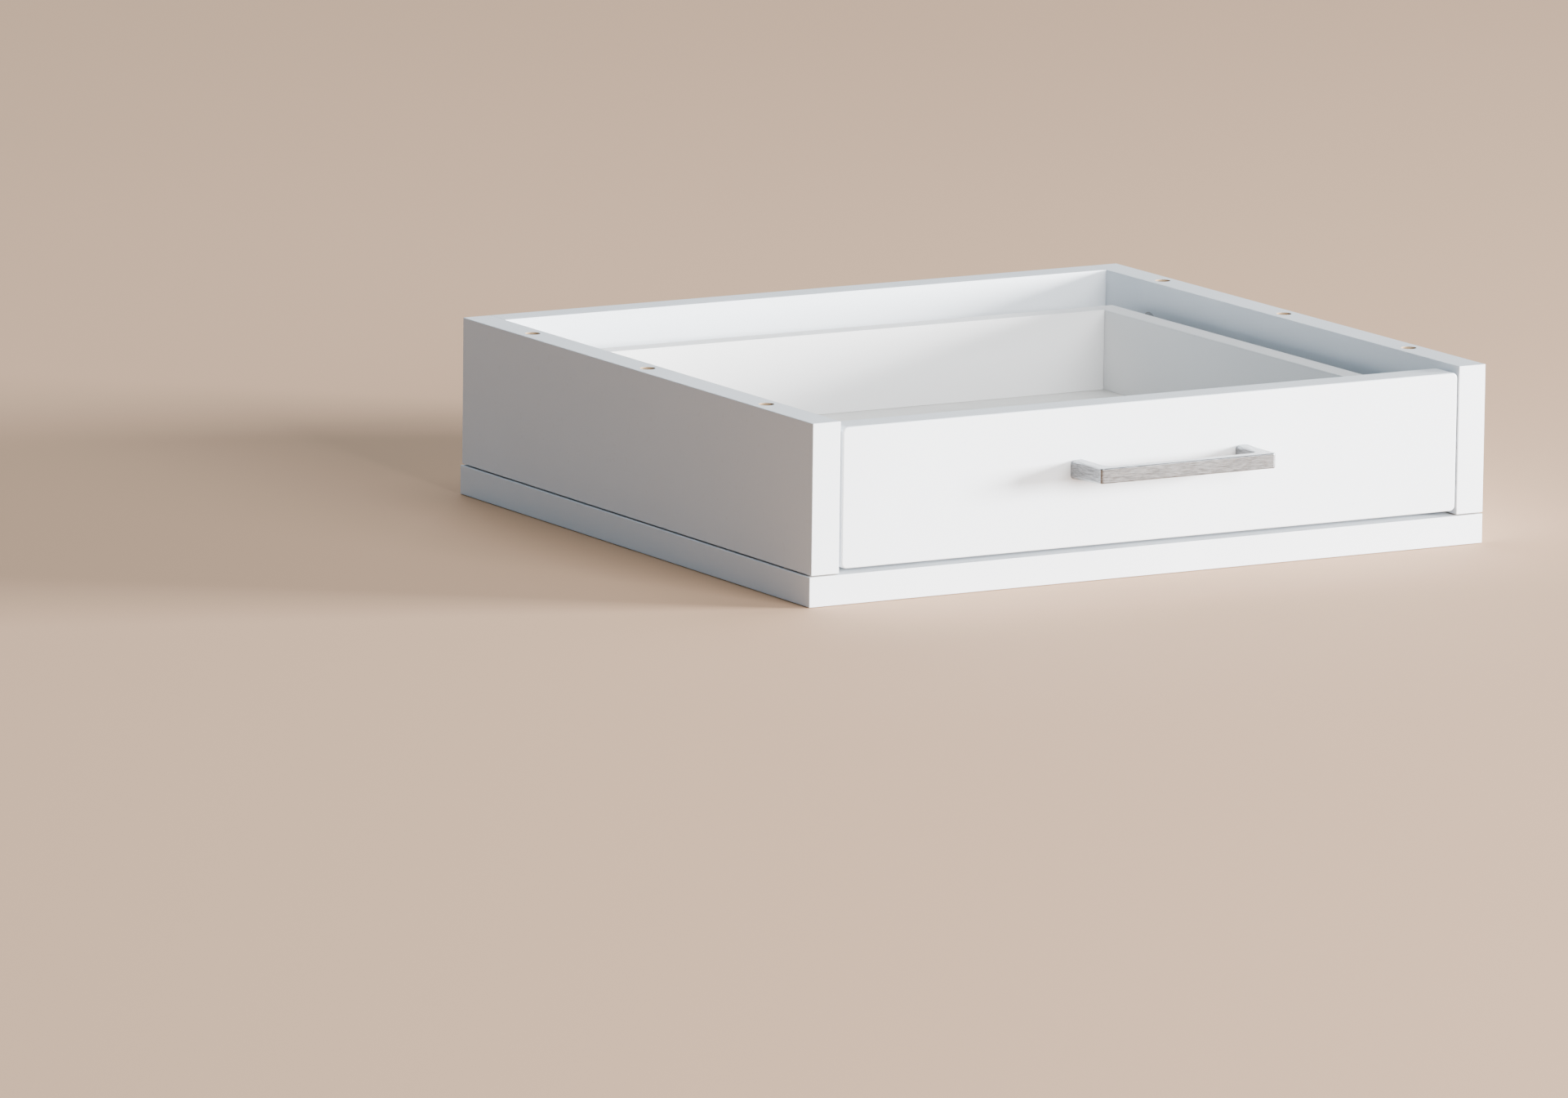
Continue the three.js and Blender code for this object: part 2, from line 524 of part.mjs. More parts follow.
// Makes the handle's feet deeper towards y = 0: mostly downwards, and a little upwards.
function deepenFeet(geometry, reach, down, up) {
  const points = geometry.attributes.position;
  for (let i = 0; i < points.count; i++) {
    const t = Math.max(0, 1 + points.getY(i) / reach);
    const z = points.getZ(i);
    points.setZ(i, z * (1 + t * t * (z < 0 ? down : up)));
  }
}

// ---- Assembly ----
const unit = new THREE.Group();
const overallFront = FRONT_RECESS - HANDLE_REACH;
unit.position.y = -(overallFront + CASE_DEPTH) / 2;

place(unit, "bottom_panel", bottomPanel(), whiteBoard, [-CASE_WIDTH / 2, 0, 0]);
place(unit, "back_panel", backPanel(), whiteBoard, [OPENING_CENTRE_X - OPENING_HALF, CASE_DEPTH - BOARD, BOARD]);

const drawer = new THREE.Group();
drawer.position.set(OPENING_CENTRE_X, 0, 0);
unit.add(drawer);
place(drawer, "drawer_front", drawerFront(), whiteBoard, [0, FRONT_RECESS, FRONT_BASE_Z]);
place(drawer, "drawer_back", drawerBack(), whiteBoard, [-BOX_INNER_HALF, BOX_BACK_Y, BOX_BASE_Z]);
place(drawer, "drawer_bottom", drawerBottom(), whiteSheet, [0, BOX_FRONT_Y - SHEET_IN_GROOVE, BOTTOM_SHEET_Z]);
place(drawer, "handle", handle(), brushedSteel, [HANDLE_X, FRONT_RECESS, HANDLE_Z]);
for (const [hand, side] of [["left", -1], ["right", 1]]) {
  const at = [HANDLE_X + (side * HANDLE_HOLES) / 2, BOX_FRONT_Y, HANDLE_Z];
  place(drawer, `${hand}_handle_screw`, panScrew(HANDLE_SCREW), zinc, at, TOWARDS_PLUS_Y);
}

// Everything below comes in a left-hand and a right-hand copy, mirrored about the middle of the opening.
for (const [hand, mirror] of [["left", 1], ["right", -1]]) {
  const caseSide = new THREE.Group();
  caseSide.position.x = OPENING_CENTRE_X;
  caseSide.scale.x = mirror;
  unit.add(caseSide);
  addCaseSide(caseSide, hand);

  const drawerHalf = new THREE.Group();
  drawerHalf.scale.x = mirror;
  drawer.add(drawerHalf);
  addDrawerHalf(drawerHalf, hand);
}

function addCaseSide(group, hand) {
  const innerFace = -OPENING_HALF;
  const middle = -UPRIGHT_MIDDLE;
  place(group, `${hand}_upright`, upright(), whiteBoard, [innerFace - BOARD, 0, BOARD]);

  TOP_CAM_YS.forEach((y, i) => {
    const z = CASE_HEIGHT - CAM.fromEdge;
    const cam = place(group, `${hand}_top_cam_${i + 1}`, camLock(CAM), zinc, [innerFace, y, z]);
    cam.rotation.set(Math.PI / 2, 0, Math.PI / 2, "ZXY"); // face inwards, mouth up
  });
  CONNECTOR_YS.forEach((y, i) => {
    place(group, `${hand}_connector_screw_${i + 1}`, connectorScrew(), zinc, [middle, y, CONNECTOR_SINK]);
  });
  BOTTOM_DOWEL_YS.forEach((y, i) => {
    place(group, `${hand}_bottom_dowel_${i + 1}`, dowel(DOWEL), beech, [middle, y, BOARD - DOWEL.inPanel]);
  });

  const backCam = place(group, `${hand}_back_cam`, camLock(CAM), zinc, [
    innerFace + CAM.fromEdge, CASE_DEPTH, BACK_CAM_Z,
  ]);
  backCam.rotation.set(-Math.PI / 2, 0, Math.PI / 2, "XYZ"); // face backwards, mouth towards the upright
  const studAt = [innerFace, BACK_MIDDLE_Y, BACK_CAM_Z];
  place(group, `${hand}_back_stud`, camStud(CAM.fromEdge), zinc, studAt, TOWARDS_PLUS_X);
  const dowelAt = [innerFace - DOWEL.inPanel, BACK_MIDDLE_Y, BACK_DOWEL_Z];
  place(group, `${hand}_back_dowel`, dowel(DOWEL), beech, dowelAt, TOWARDS_PLUS_X);

  place(group, `${hand}_case_rail`, caseRail(), coatedSteel, [innerFace, CASE_RAIL_START_Y, 0]);
  CASE_RAIL_SCREW_YS.forEach((y, i) => {
    const at = [innerFace + STEEL, y, REAR_ROLLER.z];
    place(group, `${hand}_case_rail_screw_${i + 1}`, panScrew(RAIL_SCREW), zinc, at, TOWARDS_PLUS_X);
  });
  const { radius, y, z, startU } = FRONT_ROLLER;
  place(group, `${hand}_front_roller`, roller(radius), nylon, [innerFace + startU, y, z], TOWARDS_PLUS_X);
  place(group, `${hand}_front_axle`, axle(startU - 0.2), zinc, [innerFace, y, z], TOWARDS_PLUS_X);
}

function addDrawerHalf(group, hand) {
  const outerFace = -BOX_HALF;
  const slideFace = -OPENING_HALF; // u = 0
  place(group, `${hand}_drawer_side`, drawerSide(), whiteBoard, [outerFace, BOX_FRONT_Y, BOX_BASE_Z]);
  place(group, `${hand}_drawer_rail`, drawerRail(), coatedSteel, [slideFace, DRAWER_RAIL_START_Y, 0]);
  DRAWER_RAIL_SCREW_YS.forEach((y, i) => {
    const at = [outerFace + DRAWER_RAIL_SCREW_INSET, y, BOX_BASE_Z - STEEL];
    place(group, `${hand}_drawer_rail_screw_${i + 1}`, panScrew(RAIL_SCREW), zinc, at, UPSIDE_DOWN);
  });
  const { radius, y, z, startU } = REAR_ROLLER;
  place(group, `${hand}_rear_roller`, roller(radius), nylon, [slideFace + startU, y, z], TOWARDS_PLUS_X);
  const collarEnd = SLIDE_SPACE - startU - ROLLER_WIDTH - 0.2;
  place(group, `${hand}_rear_axle`, axle(collarEnd), zinc, [slideFace + SLIDE_SPACE, y, z], TOWARDS_MINUS_X);

  const cam = place(group, `${hand}_drawer_cam`, camLock(DRAWER_CAM), zinc, [
    outerFace, BOX_FRONT_Y + DRAWER_CAM.fromEdge, DRAWER_CAM_Z,
  ]);
  cam.rotation.set(0, -Math.PI / 2, Math.PI, "YZX"); // face outwards, mouth forwards
  const studAt = [-BOX_SIDE_MIDDLE, BOX_FRONT_Y, DRAWER_CAM_Z];
  place(group, `${hand}_drawer_stud`, camStud(DRAWER_CAM.fromEdge), zinc, studAt, TOWARDS_PLUS_Y);
  const dowelAt = [-BOX_SIDE_MIDDLE, BOX_FRONT_Y - DRAWER_DOWEL.inPanel, DRAWER_DOWEL_Z];
  place(group, `${hand}_drawer_dowel`, dowel(DRAWER_DOWEL), beech, dowelAt, TOWARDS_PLUS_Y);
  BACK_SCREW_ZS.forEach((height, i) => {
    const at = [outerFace, BOX_BACK_Y + BOX_BOARD / 2, height];
    place(group, `${hand}_drawer_back_screw_${i + 1}`, countersunkScrew(BACK_SCREW), zinc, at, TOWARDS_MINUS_X);
  });
}

export default unit;
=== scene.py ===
import math

import bmesh
import bpy
from mathutils import Matrix, Vector


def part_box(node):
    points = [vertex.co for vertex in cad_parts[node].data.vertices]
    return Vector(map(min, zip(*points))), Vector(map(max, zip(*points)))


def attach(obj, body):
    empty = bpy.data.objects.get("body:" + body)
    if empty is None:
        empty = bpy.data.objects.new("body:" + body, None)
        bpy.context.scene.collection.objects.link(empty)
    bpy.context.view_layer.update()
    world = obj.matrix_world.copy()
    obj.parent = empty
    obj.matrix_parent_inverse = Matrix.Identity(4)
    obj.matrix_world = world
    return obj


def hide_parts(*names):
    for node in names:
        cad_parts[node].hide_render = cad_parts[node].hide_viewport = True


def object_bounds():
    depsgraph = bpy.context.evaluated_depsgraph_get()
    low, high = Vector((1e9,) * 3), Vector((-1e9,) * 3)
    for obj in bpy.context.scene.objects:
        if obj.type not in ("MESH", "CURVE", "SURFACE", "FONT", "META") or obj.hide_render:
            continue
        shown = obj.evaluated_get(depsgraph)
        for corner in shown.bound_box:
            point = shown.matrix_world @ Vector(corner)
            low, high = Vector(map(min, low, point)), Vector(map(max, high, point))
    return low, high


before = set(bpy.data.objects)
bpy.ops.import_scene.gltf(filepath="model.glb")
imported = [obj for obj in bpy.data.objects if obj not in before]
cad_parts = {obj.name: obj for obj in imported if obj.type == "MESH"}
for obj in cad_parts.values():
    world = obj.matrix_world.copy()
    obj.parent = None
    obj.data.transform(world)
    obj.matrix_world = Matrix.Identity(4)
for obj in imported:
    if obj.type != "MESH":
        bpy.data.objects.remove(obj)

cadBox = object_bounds()
scene = bpy.context.scene
mm = 0.001
inwards = {"left": 1, "right": -1}  # which way along X leads into the case
openingMiddle = (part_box("left_upright")[1].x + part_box("right_upright")[0].x) / 2
print("frame loaded")


# Shader sums: sockets that can be added, scaled and compared in plain Python.
class Value:
    def __init__(self, finish, socket):
        self.finish, self.socket = finish, socket

    def sum(self, operation, *terms):
        return self.finish.add("ShaderNodeMath", {"operation": operation}, dict(enumerate(terms)))

    def other(self, output):  # another output of the same node
        return Value(self.finish, self.socket.node.outputs[output])

    def __add__(self, term):
        return self.sum("ADD", self, term)

    def __radd__(self, term):
        return self.sum("ADD", term, self)

    def __sub__(self, term):
        return self.sum("SUBTRACT", self, term)

    def __rsub__(self, term):
        return self.sum("SUBTRACT", term, self)

    def __mul__(self, term):
        return self.sum("MULTIPLY", self, term)

    def __rmul__(self, term):
        return self.sum("MULTIPLY", term, self)

    def __abs__(self):
        return self.sum("ABSOLUTE", self)

    def __or__(self, term):  # the greater of the two
        return self.sum("MAXIMUM", self, term)

    def __and__(self, term):  # the lesser of the two
        return self.sum("MINIMUM", self, term)

    def wave(self):
        return self.sum("SINE", self)

    def rise(self, start, end):  # 0 before start, 1 after end, eased between
        inputs = {"Value": self, "From Min": start, "From Max": end}
        return self.finish.add("ShaderNodeMapRange", {"interpolation_type": "SMOOTHSTEP"}, inputs)

    def near(self, centre, reach):  # 1 at centre, 0 beyond reach
        return 1 - abs(self - centre).rise(0, reach)


class Finish:
    def __init__(self, name, constants=None):  # constants are the shader's own values
        self.material = bpy.data.materials.new(name)
        self.material.use_nodes = True
        self.tree = self.material.node_tree
        self.shader = next(n for n in self.tree.nodes if n.type == "BSDF_PRINCIPLED")
        for socket, value in (constants or {}).items():
            self.shader.inputs[socket].default_value = value
        self.place = self.add("ShaderNodeTexCoord", out="Object")
        self.x = self.add("ShaderNodeSeparateXYZ", {}, {"Vector": self.place}, "X")
        self.y, self.z = self.x.other("Y"), self.x.other("Z")

    def add(self, kind, settings=None, inputs=None, out=0):
        node = self.tree.nodes.new(kind)
        for name, setting in (settings or {}).items():
            setattr(node, name, setting)
        for name, value in (inputs or {}).items():
            if isinstance(value, Value):
                self.tree.links.new(value.socket, node.inputs[name])
            else:
                node.inputs[name].default_value = value
        return Value(self, node.outputs[out])

    def noise(self, size, detail=2.0, stretch=(1, 1, 1), roughness=0.5):  # size in metres
        scale = [1 / (size * s) for s in stretch]
        where = self.add("ShaderNodeMapping", {}, {"Vector": self.place, "Scale": scale})
        inputs = {"Vector": where, "Scale": 1.0, "Detail": detail, "Roughness": roughness}
        return self.add("ShaderNodeTexNoise", {}, inputs, "Fac")

    def cells(self, size):
        where = self.add("ShaderNodeMapping", {}, {"Vector": self.place, "Scale": [1 / size] * 3})
        return self.add("ShaderNodeTexVoronoi", {}, {"Vector": where, "Scale": 1.0}, "Distance")

    def mix(self, share, first, second):
        inputs = {"Factor": share, 6: first, 7: second}
        return self.add("ShaderNodeMix", {"data_type": "RGBA"}, inputs, 2)

    def colour(self, value):
        self.tree.links.new(value.socket, self.shader.inputs["Base Color"])

    def gloss(self, roughness):
        self.tree.links.new(roughness.socket, self.shader.inputs["Roughness"])

    def relief(self, height, depth, strength=1.0):  # depth in metres
        inputs = {"Height": height, "Distance": depth, "Strength": strength}
        self.tree.links.new(self.add("ShaderNodeBump", {}, inputs).socket, self.shader.inputs["Normal"])


# The second value tilts a grey warm above zero and cool below zero. In the lacquer and the nickel, that tilt
# is a painted cool cast against the floor's warm bounce.
def grey(level, tintAndPaintedCast=0.0):
    return (level * (1 + tintAndPaintedCast), level, level * (1 - tintAndPaintedCast), 1)


# The case and the drawer's front: fibreboard sprayed with white satin lacquer.
lacquerLook = {
    # The negative tint is a painted cool cast that cancels the warm light bounced from the floor; the real
    # lacquer is neutral white.
    "white": 0.81, "shade": 0.79, "tintAndPaintedCast": -0.045, "gloss": 0.36,
    "peelSize": 1.6 * mm, "peelDepth": 0.010 * mm, "grain": 0.35 * mm, "nib": 2.6 * mm,
}


def lacquerFinish():
    finish = Finish("whiteLacquer", {"Coat Weight": 0.12, "Coat Roughness": 0.22})
    cloud = finish.noise(90 * mm, 3)
    peel = finish.noise(lacquerLook["peelSize"], 1.5)
    grain = finish.noise(lacquerLook["grain"], 1)
    nib = finish.noise(lacquerLook["nib"], 0).rise(0.76, 0.80)  # dust caught in the paint
    # Both tones carry that painted cool cast.
    shade, white = (grey(lacquerLook[level], lacquerLook["tintAndPaintedCast"]) for level in ("shade", "white"))
    tone = finish.mix(cloud.rise(0.35, 0.7), shade, white)
    finish.colour(finish.mix(nib * 0.12, tone, grey(0.62, 0.01)))
    finish.gloss(lacquerLook["gloss"] + (cloud - 0.5) * 0.10 + (grain - 0.5) * 0.08)
    finish.relief(peel + nib * 0.35 + grain * 0.12, lacquerLook["peelDepth"])
    return finish.material


# The drawer box: particle board with a pearly white facing, banded along its top edges.
facingLook = {
    "white": 0.77, "pearl": 0.745, "pearlSize": 0.9 * mm, "pearlDepth": 0.012 * mm,
    "band": 0.8 * mm, "bandSeam": 0.12 * mm,
}


def facingFinish():
    finish = Finish("whiteFacing")
    pearl = finish.cells(facingLook["pearlSize"])
    cloud = finish.noise(60 * mm, 2)
    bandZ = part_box("left_drawer_side")[1].z - facingLook["band"]
    seam = finish.z.near(bandZ, facingLook["bandSeam"])
    scuff = finish.noise(9 * mm, 3, (6, 1, 1)).rise(0.66, 0.8)
    tone = finish.mix(cloud, grey(facingLook["pearl"], 0.008), grey(facingLook["white"], 0.006))
    tone = finish.mix(scuff * 0.10, tone, grey(0.6, 0.02))
    finish.colour(finish.mix(seam * 0.35, tone, grey(0.45, 0.04)))
    finish.gloss(0.46 + (pearl - 0.5) * 0.10 - scuff * 0.05)
    finish.relief(pearl - seam * 2, facingLook["pearlDepth"], 0.8)
    return finish.material


# The drawer's bottom: hardboard, painted white on the side that shows and brown below.
hardboardLook = {
    "paint": (0.75, 0.745, 0.72, 1), "paintShade": (0.72, 0.712, 0.685, 1),
    "brown": (0.20, 0.115, 0.058, 1), "brownPale": (0.31, 0.19, 0.10, 1), "mesh": 1.5 * mm,
}


def hardboardFinish():
    finish = Finish("hardboard")
    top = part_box("drawer_bottom")[1].z
    painted = finish.z.rise(top - 0.8 * mm, top - 0.6 * mm)
    fibre = finish.noise(0.8 * mm, 3, (4, 2, 1))
    pitch = 2 * math.pi / hardboardLook["mesh"]
    screen = (finish.x * pitch).wave() * (finish.y * pitch).wave()
    brown = finish.mix(fibre, hardboardLook["brown"], hardboardLook["brownPale"])
    white = finish.mix(fibre.rise(0.3, 0.75), hardboardLook["paintShade"], hardboardLook["paint"])
    finish.colour(finish.mix(painted, brown, white))
    finish.gloss(0.72 - painted * 0.26 + (fibre - 0.5) * 0.1)
    finish.relief(fibre * 0.3 + screen * (1 - painted), 0.05 * mm)
    return finish.material


# Where a drill or a saw has gone through the white: bare brown fibreboard.
def bareBoardFinish():
    finish = Finish("bareFibreboard", {"Roughness": 0.85})
    fibre = finish.noise(0.5 * mm, 4)
    clump = finish.noise(3 * mm, 2)
    pale = finish.mix(clump, (0.40, 0.27, 0.155, 1), (0.50, 0.35, 0.21, 1))
    finish.colour(finish.mix(fibre.rise(0.45, 0.7) * 0.6, pale, (0.24, 0.145, 0.075, 1)))
    finish.relief(fibre, 0.12 * mm)
    return finish.material


# The handle: satin nickel, brushed along the bar and along each foot.
nickelLook = {
    # The negative tint is a painted cool cast that cancels the floor's warm reflection. The light and dark
    # levels also sit below bare nickel, a painted shade that offsets the bright lamps.
    "light": 0.38, "dark": 0.165, "worn": 0.36, "tintAndPaintedCast": -0.04, "gloss": 0.28,
    "line": 0.10 * mm, "lineStretch": 104, "blotch": 0.55 * mm, "blotchStretch": 9,
    "barEnds": (5.6 * mm, 6.4 * mm),  # behind the bar's front, where the brushing turns
}


def nickelFinish():
    finish = Finish("satinNickel", {"Metallic": 1.0})
    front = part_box("handle")[0].y
    facing = finish.add("ShaderNodeTexCoord", out="Normal")
    endFace = abs(finish.add("ShaderNodeSeparateXYZ", {}, {"Vector": facing}, "X")).rise(0.6, 0.8)
    foot = finish.y.rise(*(front + end for end in nickelLook["barEnds"])) | endFace

    def brushed(size, detail, stretch, roughness=0.5):  # along the bar, and along the feet
        alongBar = finish.noise(size, detail, (stretch, 1, 1), roughness)
        alongFoot = finish.noise(size, detail, (1, stretch, 1), roughness)
        return alongBar * (1 - foot) + alongFoot * foot

    streak = brushed(nickelLook["line"], 3, nickelLook["lineStretch"], 0.65)
    blotch = brushed(nickelLook["blotch"], 2, nickelLook["blotchStretch"])
    cloud = finish.noise(14 * mm, 2)
    rubbed = finish.noise(5 * mm, 3).rise(0.55, 0.8) * 0.5
    # All three tones carry that painted cool cast and painted shade.
    dark, light, worn = (grey(nickelLook[level], nickelLook["tintAndPaintedCast"]) for level in ("dark", "light", "worn"))
    tone = finish.mix((streak + blotch).rise(0.75, 1.25), dark, light)
    finish.colour(finish.mix(cloud * 0.15, tone, worn))
    finish.gloss(nickelLook["gloss"] + (streak - 0.5) * 0.22 + (cloud - 0.5) * 0.06 - rubbed * 0.04)
    finish.relief(streak, 0.006 * mm)
    return finish.material


# The slides: steel under off-white powder coat, polished grey where the rollers have run.
coatLook = {
    "colour": (0.70, 0.695, 0.665, 1), "pale": (0.755, 0.75, 0.725, 1), "worn": (0.36, 0.355, 0.34, 1),
}


def coatFinish():
    finish = Finish("powderCoat")
    peel = finish.noise(0.7 * mm, 1.5)
    cloud = finish.noise(30 * mm, 2)
    rearLow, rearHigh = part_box("left_rear_roller")
    inner, outer = openingMiddle - rearHigh.x, openingMiddle - rearLow.x  # the rollers' reach from the middle
    away, fade = abs(finish.x - openingMiddle), 0.8 * mm
    lane = away.rise(inner, inner + fade) & away.rise(outer, outer - fade)
    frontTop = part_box("left_front_roller")[1].z
    onTrack = finish.z.near(rearLow.z, 0.4 * mm) | finish.z.near(frontTop, 0.4 * mm)
    worn = lane * onTrack * finish.noise(6 * mm, 3, (1, 8, 1)).rise(0.3, 0.6)
    speck = finish.noise(0.5 * mm, 0).rise(0.72, 0.78)
    tone = finish.mix(cloud, coatLook["colour"], coatLook["pale"])
    tone = finish.mix(speck * 0.15, tone, grey(0.4))
    finish.colour(finish.mix(worn * 0.55, tone, coatLook["worn"]))
    finish.gloss(0.42 + (peel - 0.5) * 0.12 - worn * 0.14)
    finish.relief(peel * (1 - worn * 0.7), 0.02 * mm)
    return finish.material


def platedFinish():  # bright zinc plate on the screws, studs and axles
    finish = Finish("zincPlate", {"Metallic": 1.0})
    cloud = finish.noise(2.2 * mm, 3)
    scratch = finish.noise(0.12 * mm, 2, (1, 1, 12))
    tint = finish.mix(cloud, (0.56, 0.58, 0.60, 1), (0.67, 0.66, 0.61, 1))
    finish.colour(finish.mix(scratch.rise(0.6, 0.8) * 0.4, tint, grey(0.4)))
    finish.gloss(0.28 + cloud * 0.14 + (scratch - 0.5) * 0.1)
    finish.relief(scratch, 0.01 * mm)
    return finish.material


def castFinish():  # dull die-cast zinc, with a fine skin
    finish = Finish("castZinc", {"Metallic": 0.9})
    skin = finish.noise(0.35 * mm, 3)
    cloud = finish.noise(3 * mm, 2)
    finish.colour(finish.mix(cloud, (0.38, 0.385, 0.395, 1), (0.50, 0.505, 0.51, 1)))
    finish.gloss(0.42 + cloud * 0.12 + (skin - 0.5) * 0.12)
    finish.relief(skin, 0.03 * mm)
    return finish.material


def nylonFinish():  # natural nylon, a little grey where the tread runs
    soft = {"Subsurface Weight": 0.08, "Subsurface Radius": (0.002, 0.0016, 0.0012), "IOR": 1.53}
    finish = Finish("nylon", soft)
    cloud = finish.noise(4 * mm, 2)
    smear = finish.noise(0.8 * mm, 2, (1, 6, 6)).rise(0.45, 0.75)
    tone = finish.mix(cloud, (0.74, 0.72, 0.65, 1), (0.80, 0.785, 0.73, 1))
    finish.colour(finish.mix(smear * 0.14, tone, grey(0.3, 0.02)))
    finish.gloss(0.44 + cloud * 0.10)
    finish.relief(finish.noise(0.25 * mm, 2), 0.008 * mm)
    return finish.material


def beechFinish():  # turned beech, with its short dark flecks
    finish = Finish("beech", {"Roughness": 0.7})
    ring = finish.noise(1.4 * mm, 3, (8, 1, 8))
    fleck = finish.noise(0.35 * mm, 1, (6, 1, 6)).rise(0.62, 0.72)
    tone = finish.mix(ring, (0.52, 0.33, 0.17, 1), (0.68, 0.48, 0.28, 1))
    finish.colour(finish.mix(fleck * 0.6, tone, (0.30, 0.16, 0.08, 1)))
    finish.relief(ring + fleck * 0.5, 0.05 * mm)
    return finish.material


lacquer, facing, hardboard, bareBoard = lacquerFinish(), facingFinish(), hardboardFinish(), bareBoardFinish()
nickel, powderCoat, plated, cast = nickelFinish(), coatFinish(), platedFinish(), castFinish()
nylon, beech = nylonFinish(), beechFinish()
print("finishes mixed")


# Meshes.
def makePiece(name, shape, finishes):
    mesh = bpy.data.meshes.new(name)
    shape.to_mesh(mesh)
    shape.free()
    for finish in finishes:
        mesh.materials.append(finish)
    piece = bpy.data.objects.new(name, mesh)
    scene.collection.objects.link(piece)
    return piece


def pieceName(node):  # the frame's name_of_a_node, written nameOfANode
    first, *others = node.split("_")
    return first + "".join(word.capitalize() for word in others)


def settle(piece):  # the modifiers' result becomes the mesh
    seen = bpy.context.evaluated_depsgraph_get()
    shown = piece.evaluated_get(seen)
    mesh = bpy.data.meshes.new_from_object(shown, preserve_all_data_layers=True, depsgraph=seen)
    piece.modifiers.clear()
    piece.data = mesh
    mesh.name = piece.name
    return piece


def carve(piece, cutters, operation="DIFFERENCE"):  # a cut shows the piece's last material
    tools = []
    for cutter in cutters:
        for face in cutter.faces:
            face.material_index = len(piece.data.materials) - 1 if operation == "DIFFERENCE" else 0
        tool = makePiece("tool", cutter, piece.data.materials)
        step = piece.modifiers.new("carve", "BOOLEAN")
        step.operation, step.solver, step.object = operation, "EXACT", tool
        tools.append(tool)
    settle(piece)
    for tool in tools:
        bpy.data.objects.remove(tool)
    return piece


def shade(piece, creaseAngle=32):
    piece.data.shade_smooth()
    piece.data.set_sharp_from_angle(angle=math.radians(creaseAngle))
    even = piece.modifiers.new("even", "WEIGHTED_NORMAL")
    even.keep_sharp = True
    return settle(piece)


def softBlock(low, high, softness=0.0, steps=3):
    block = bmesh.new()
    bmesh.ops.create_cube(block, size=1)
    bmesh.ops.scale(block, vec=Vector(high) - Vector(low), verts=block.verts)
    bmesh.ops.translate(block, vec=(Vector(high) + Vector(low)) / 2, verts=block.verts)
    if softness:
        bmesh.ops.bevel(
            block, geom=block.edges[:], offset=softness, segments=steps, profile=0.5, affect="EDGES"
        )
    return block


def rod(start, end, radius, facets=40, endRadius=None):
    shape = bmesh.new()
    length = (end - start).length
    bmesh.ops.create_cone(
        shape, cap_ends=True, segments=facets, radius1=radius, radius2=endRadius or radius, depth=length
    )
    turn = Vector((0, 0, 1)).rotation_difference(end - start).to_matrix().to_4x4()
    shape.transform(Matrix.Translation((start + end) / 2) @ turn)
    return shape


def rounded(points, radius, steps=5, closed=False):  # a polyline with each corner eased
    points = [Vector(p) for p in points]
    count, eased = len(points), []
    for i, corner in enumerate(points):
        if not closed and i in (0, count - 1):
            eased.append(corner)
            continue
        before, after = points[i - 1], points[(i + 1) % count]
        reach = min(radius, (before - corner).length * 0.45, (after - corner).length * 0.45)
        start = corner + (before - corner).normalized() * reach
        end = corner + (after - corner).normalized() * reach
        for k in range(steps + 1):
            t = k / steps
            eased.append(start * (1 - t) ** 2 + corner * 2 * t * (1 - t) + end * t**2)
    return eased


def lathe(profile, facets=48, ringShaped=False):  # turned about +Z from (radius, height) pairs
    shape = bmesh.new()
    rows = []
    for radius, height in profile:
        if radius < 1e-7:
            rows.append([shape.verts.new((0, 0, height))] * facets)
            continue
        angles = [2 * math.pi * k / facets for k in range(facets)]
        rows.append([shape.verts.new((radius * math.cos(a), radius * math.sin(a), height)) for a in angles])
    for lower, upper in zip(rows, rows[1:] + (rows[:1] if ringShaped else [])):
        for k in range(facets):
            corners = [lower[k], lower[(k + 1) % facets], upper[(k + 1) % facets], upper[k]]
            corners = list(dict.fromkeys(corners))
            if len(corners) > 2:
                shape.faces.new(corners)
    bmesh.ops.recalc_face_normals(shape, faces=shape.faces)
    return shape


def loft(rings):  # skin through rings of points, with a face at each end
    shape = bmesh.new()
    rows = [[shape.verts.new(point) for point in ring] for ring in rings]
    count = len(rows[0])
    for lower, upper in zip(rows, rows[1:]):
        for k in range(count):
            shape.faces.new((lower[k], lower[(k + 1) % count], upper[(k + 1) % count], upper[k]))
    shape.faces.new(rows[0][::-1])
    shape.faces.new(rows[-1])
    bmesh.ops.recalc_face_normals(shape, faces=shape.faces)
    return shape


def inset(outline, distance):  # an anticlockwise outline, moved inwards all round
    moved = []
    for i, point in enumerate(outline):
        before, after = outline[i - 1], outline[(i + 1) % len(outline)]
        first, second = (point - before).normalized(), (after - point).normalized()
        outward = Vector((first.y + second.y, -first.x - second.x))
        moved.append(point - outward * distance / (1 + first.dot(second)))
    return moved


def pillow(outline, low, high, lowRound, highRound, steps=5):  # rings of (u, v, w), soft at both ends
    quarter = [math.pi / 2 * k / steps for k in range(steps + 1)]
    rings = []
    for a in quarter:
        rings.append((lowRound * (1 - math.sin(a)), low + lowRound * (1 - math.cos(a))))
    for a in reversed(quarter):
        rings.append((highRound * (1 - math.sin(a)), high - highRound * (1 - math.cos(a))))
    return [[(p.x, p.y, w) for p in inset(outline, distance)] for distance, w in rings]


def give(piece, body, slot, *nodes):  # the piece takes these nodes' place
    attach(piece, body)
    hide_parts(*nodes)
    return piece


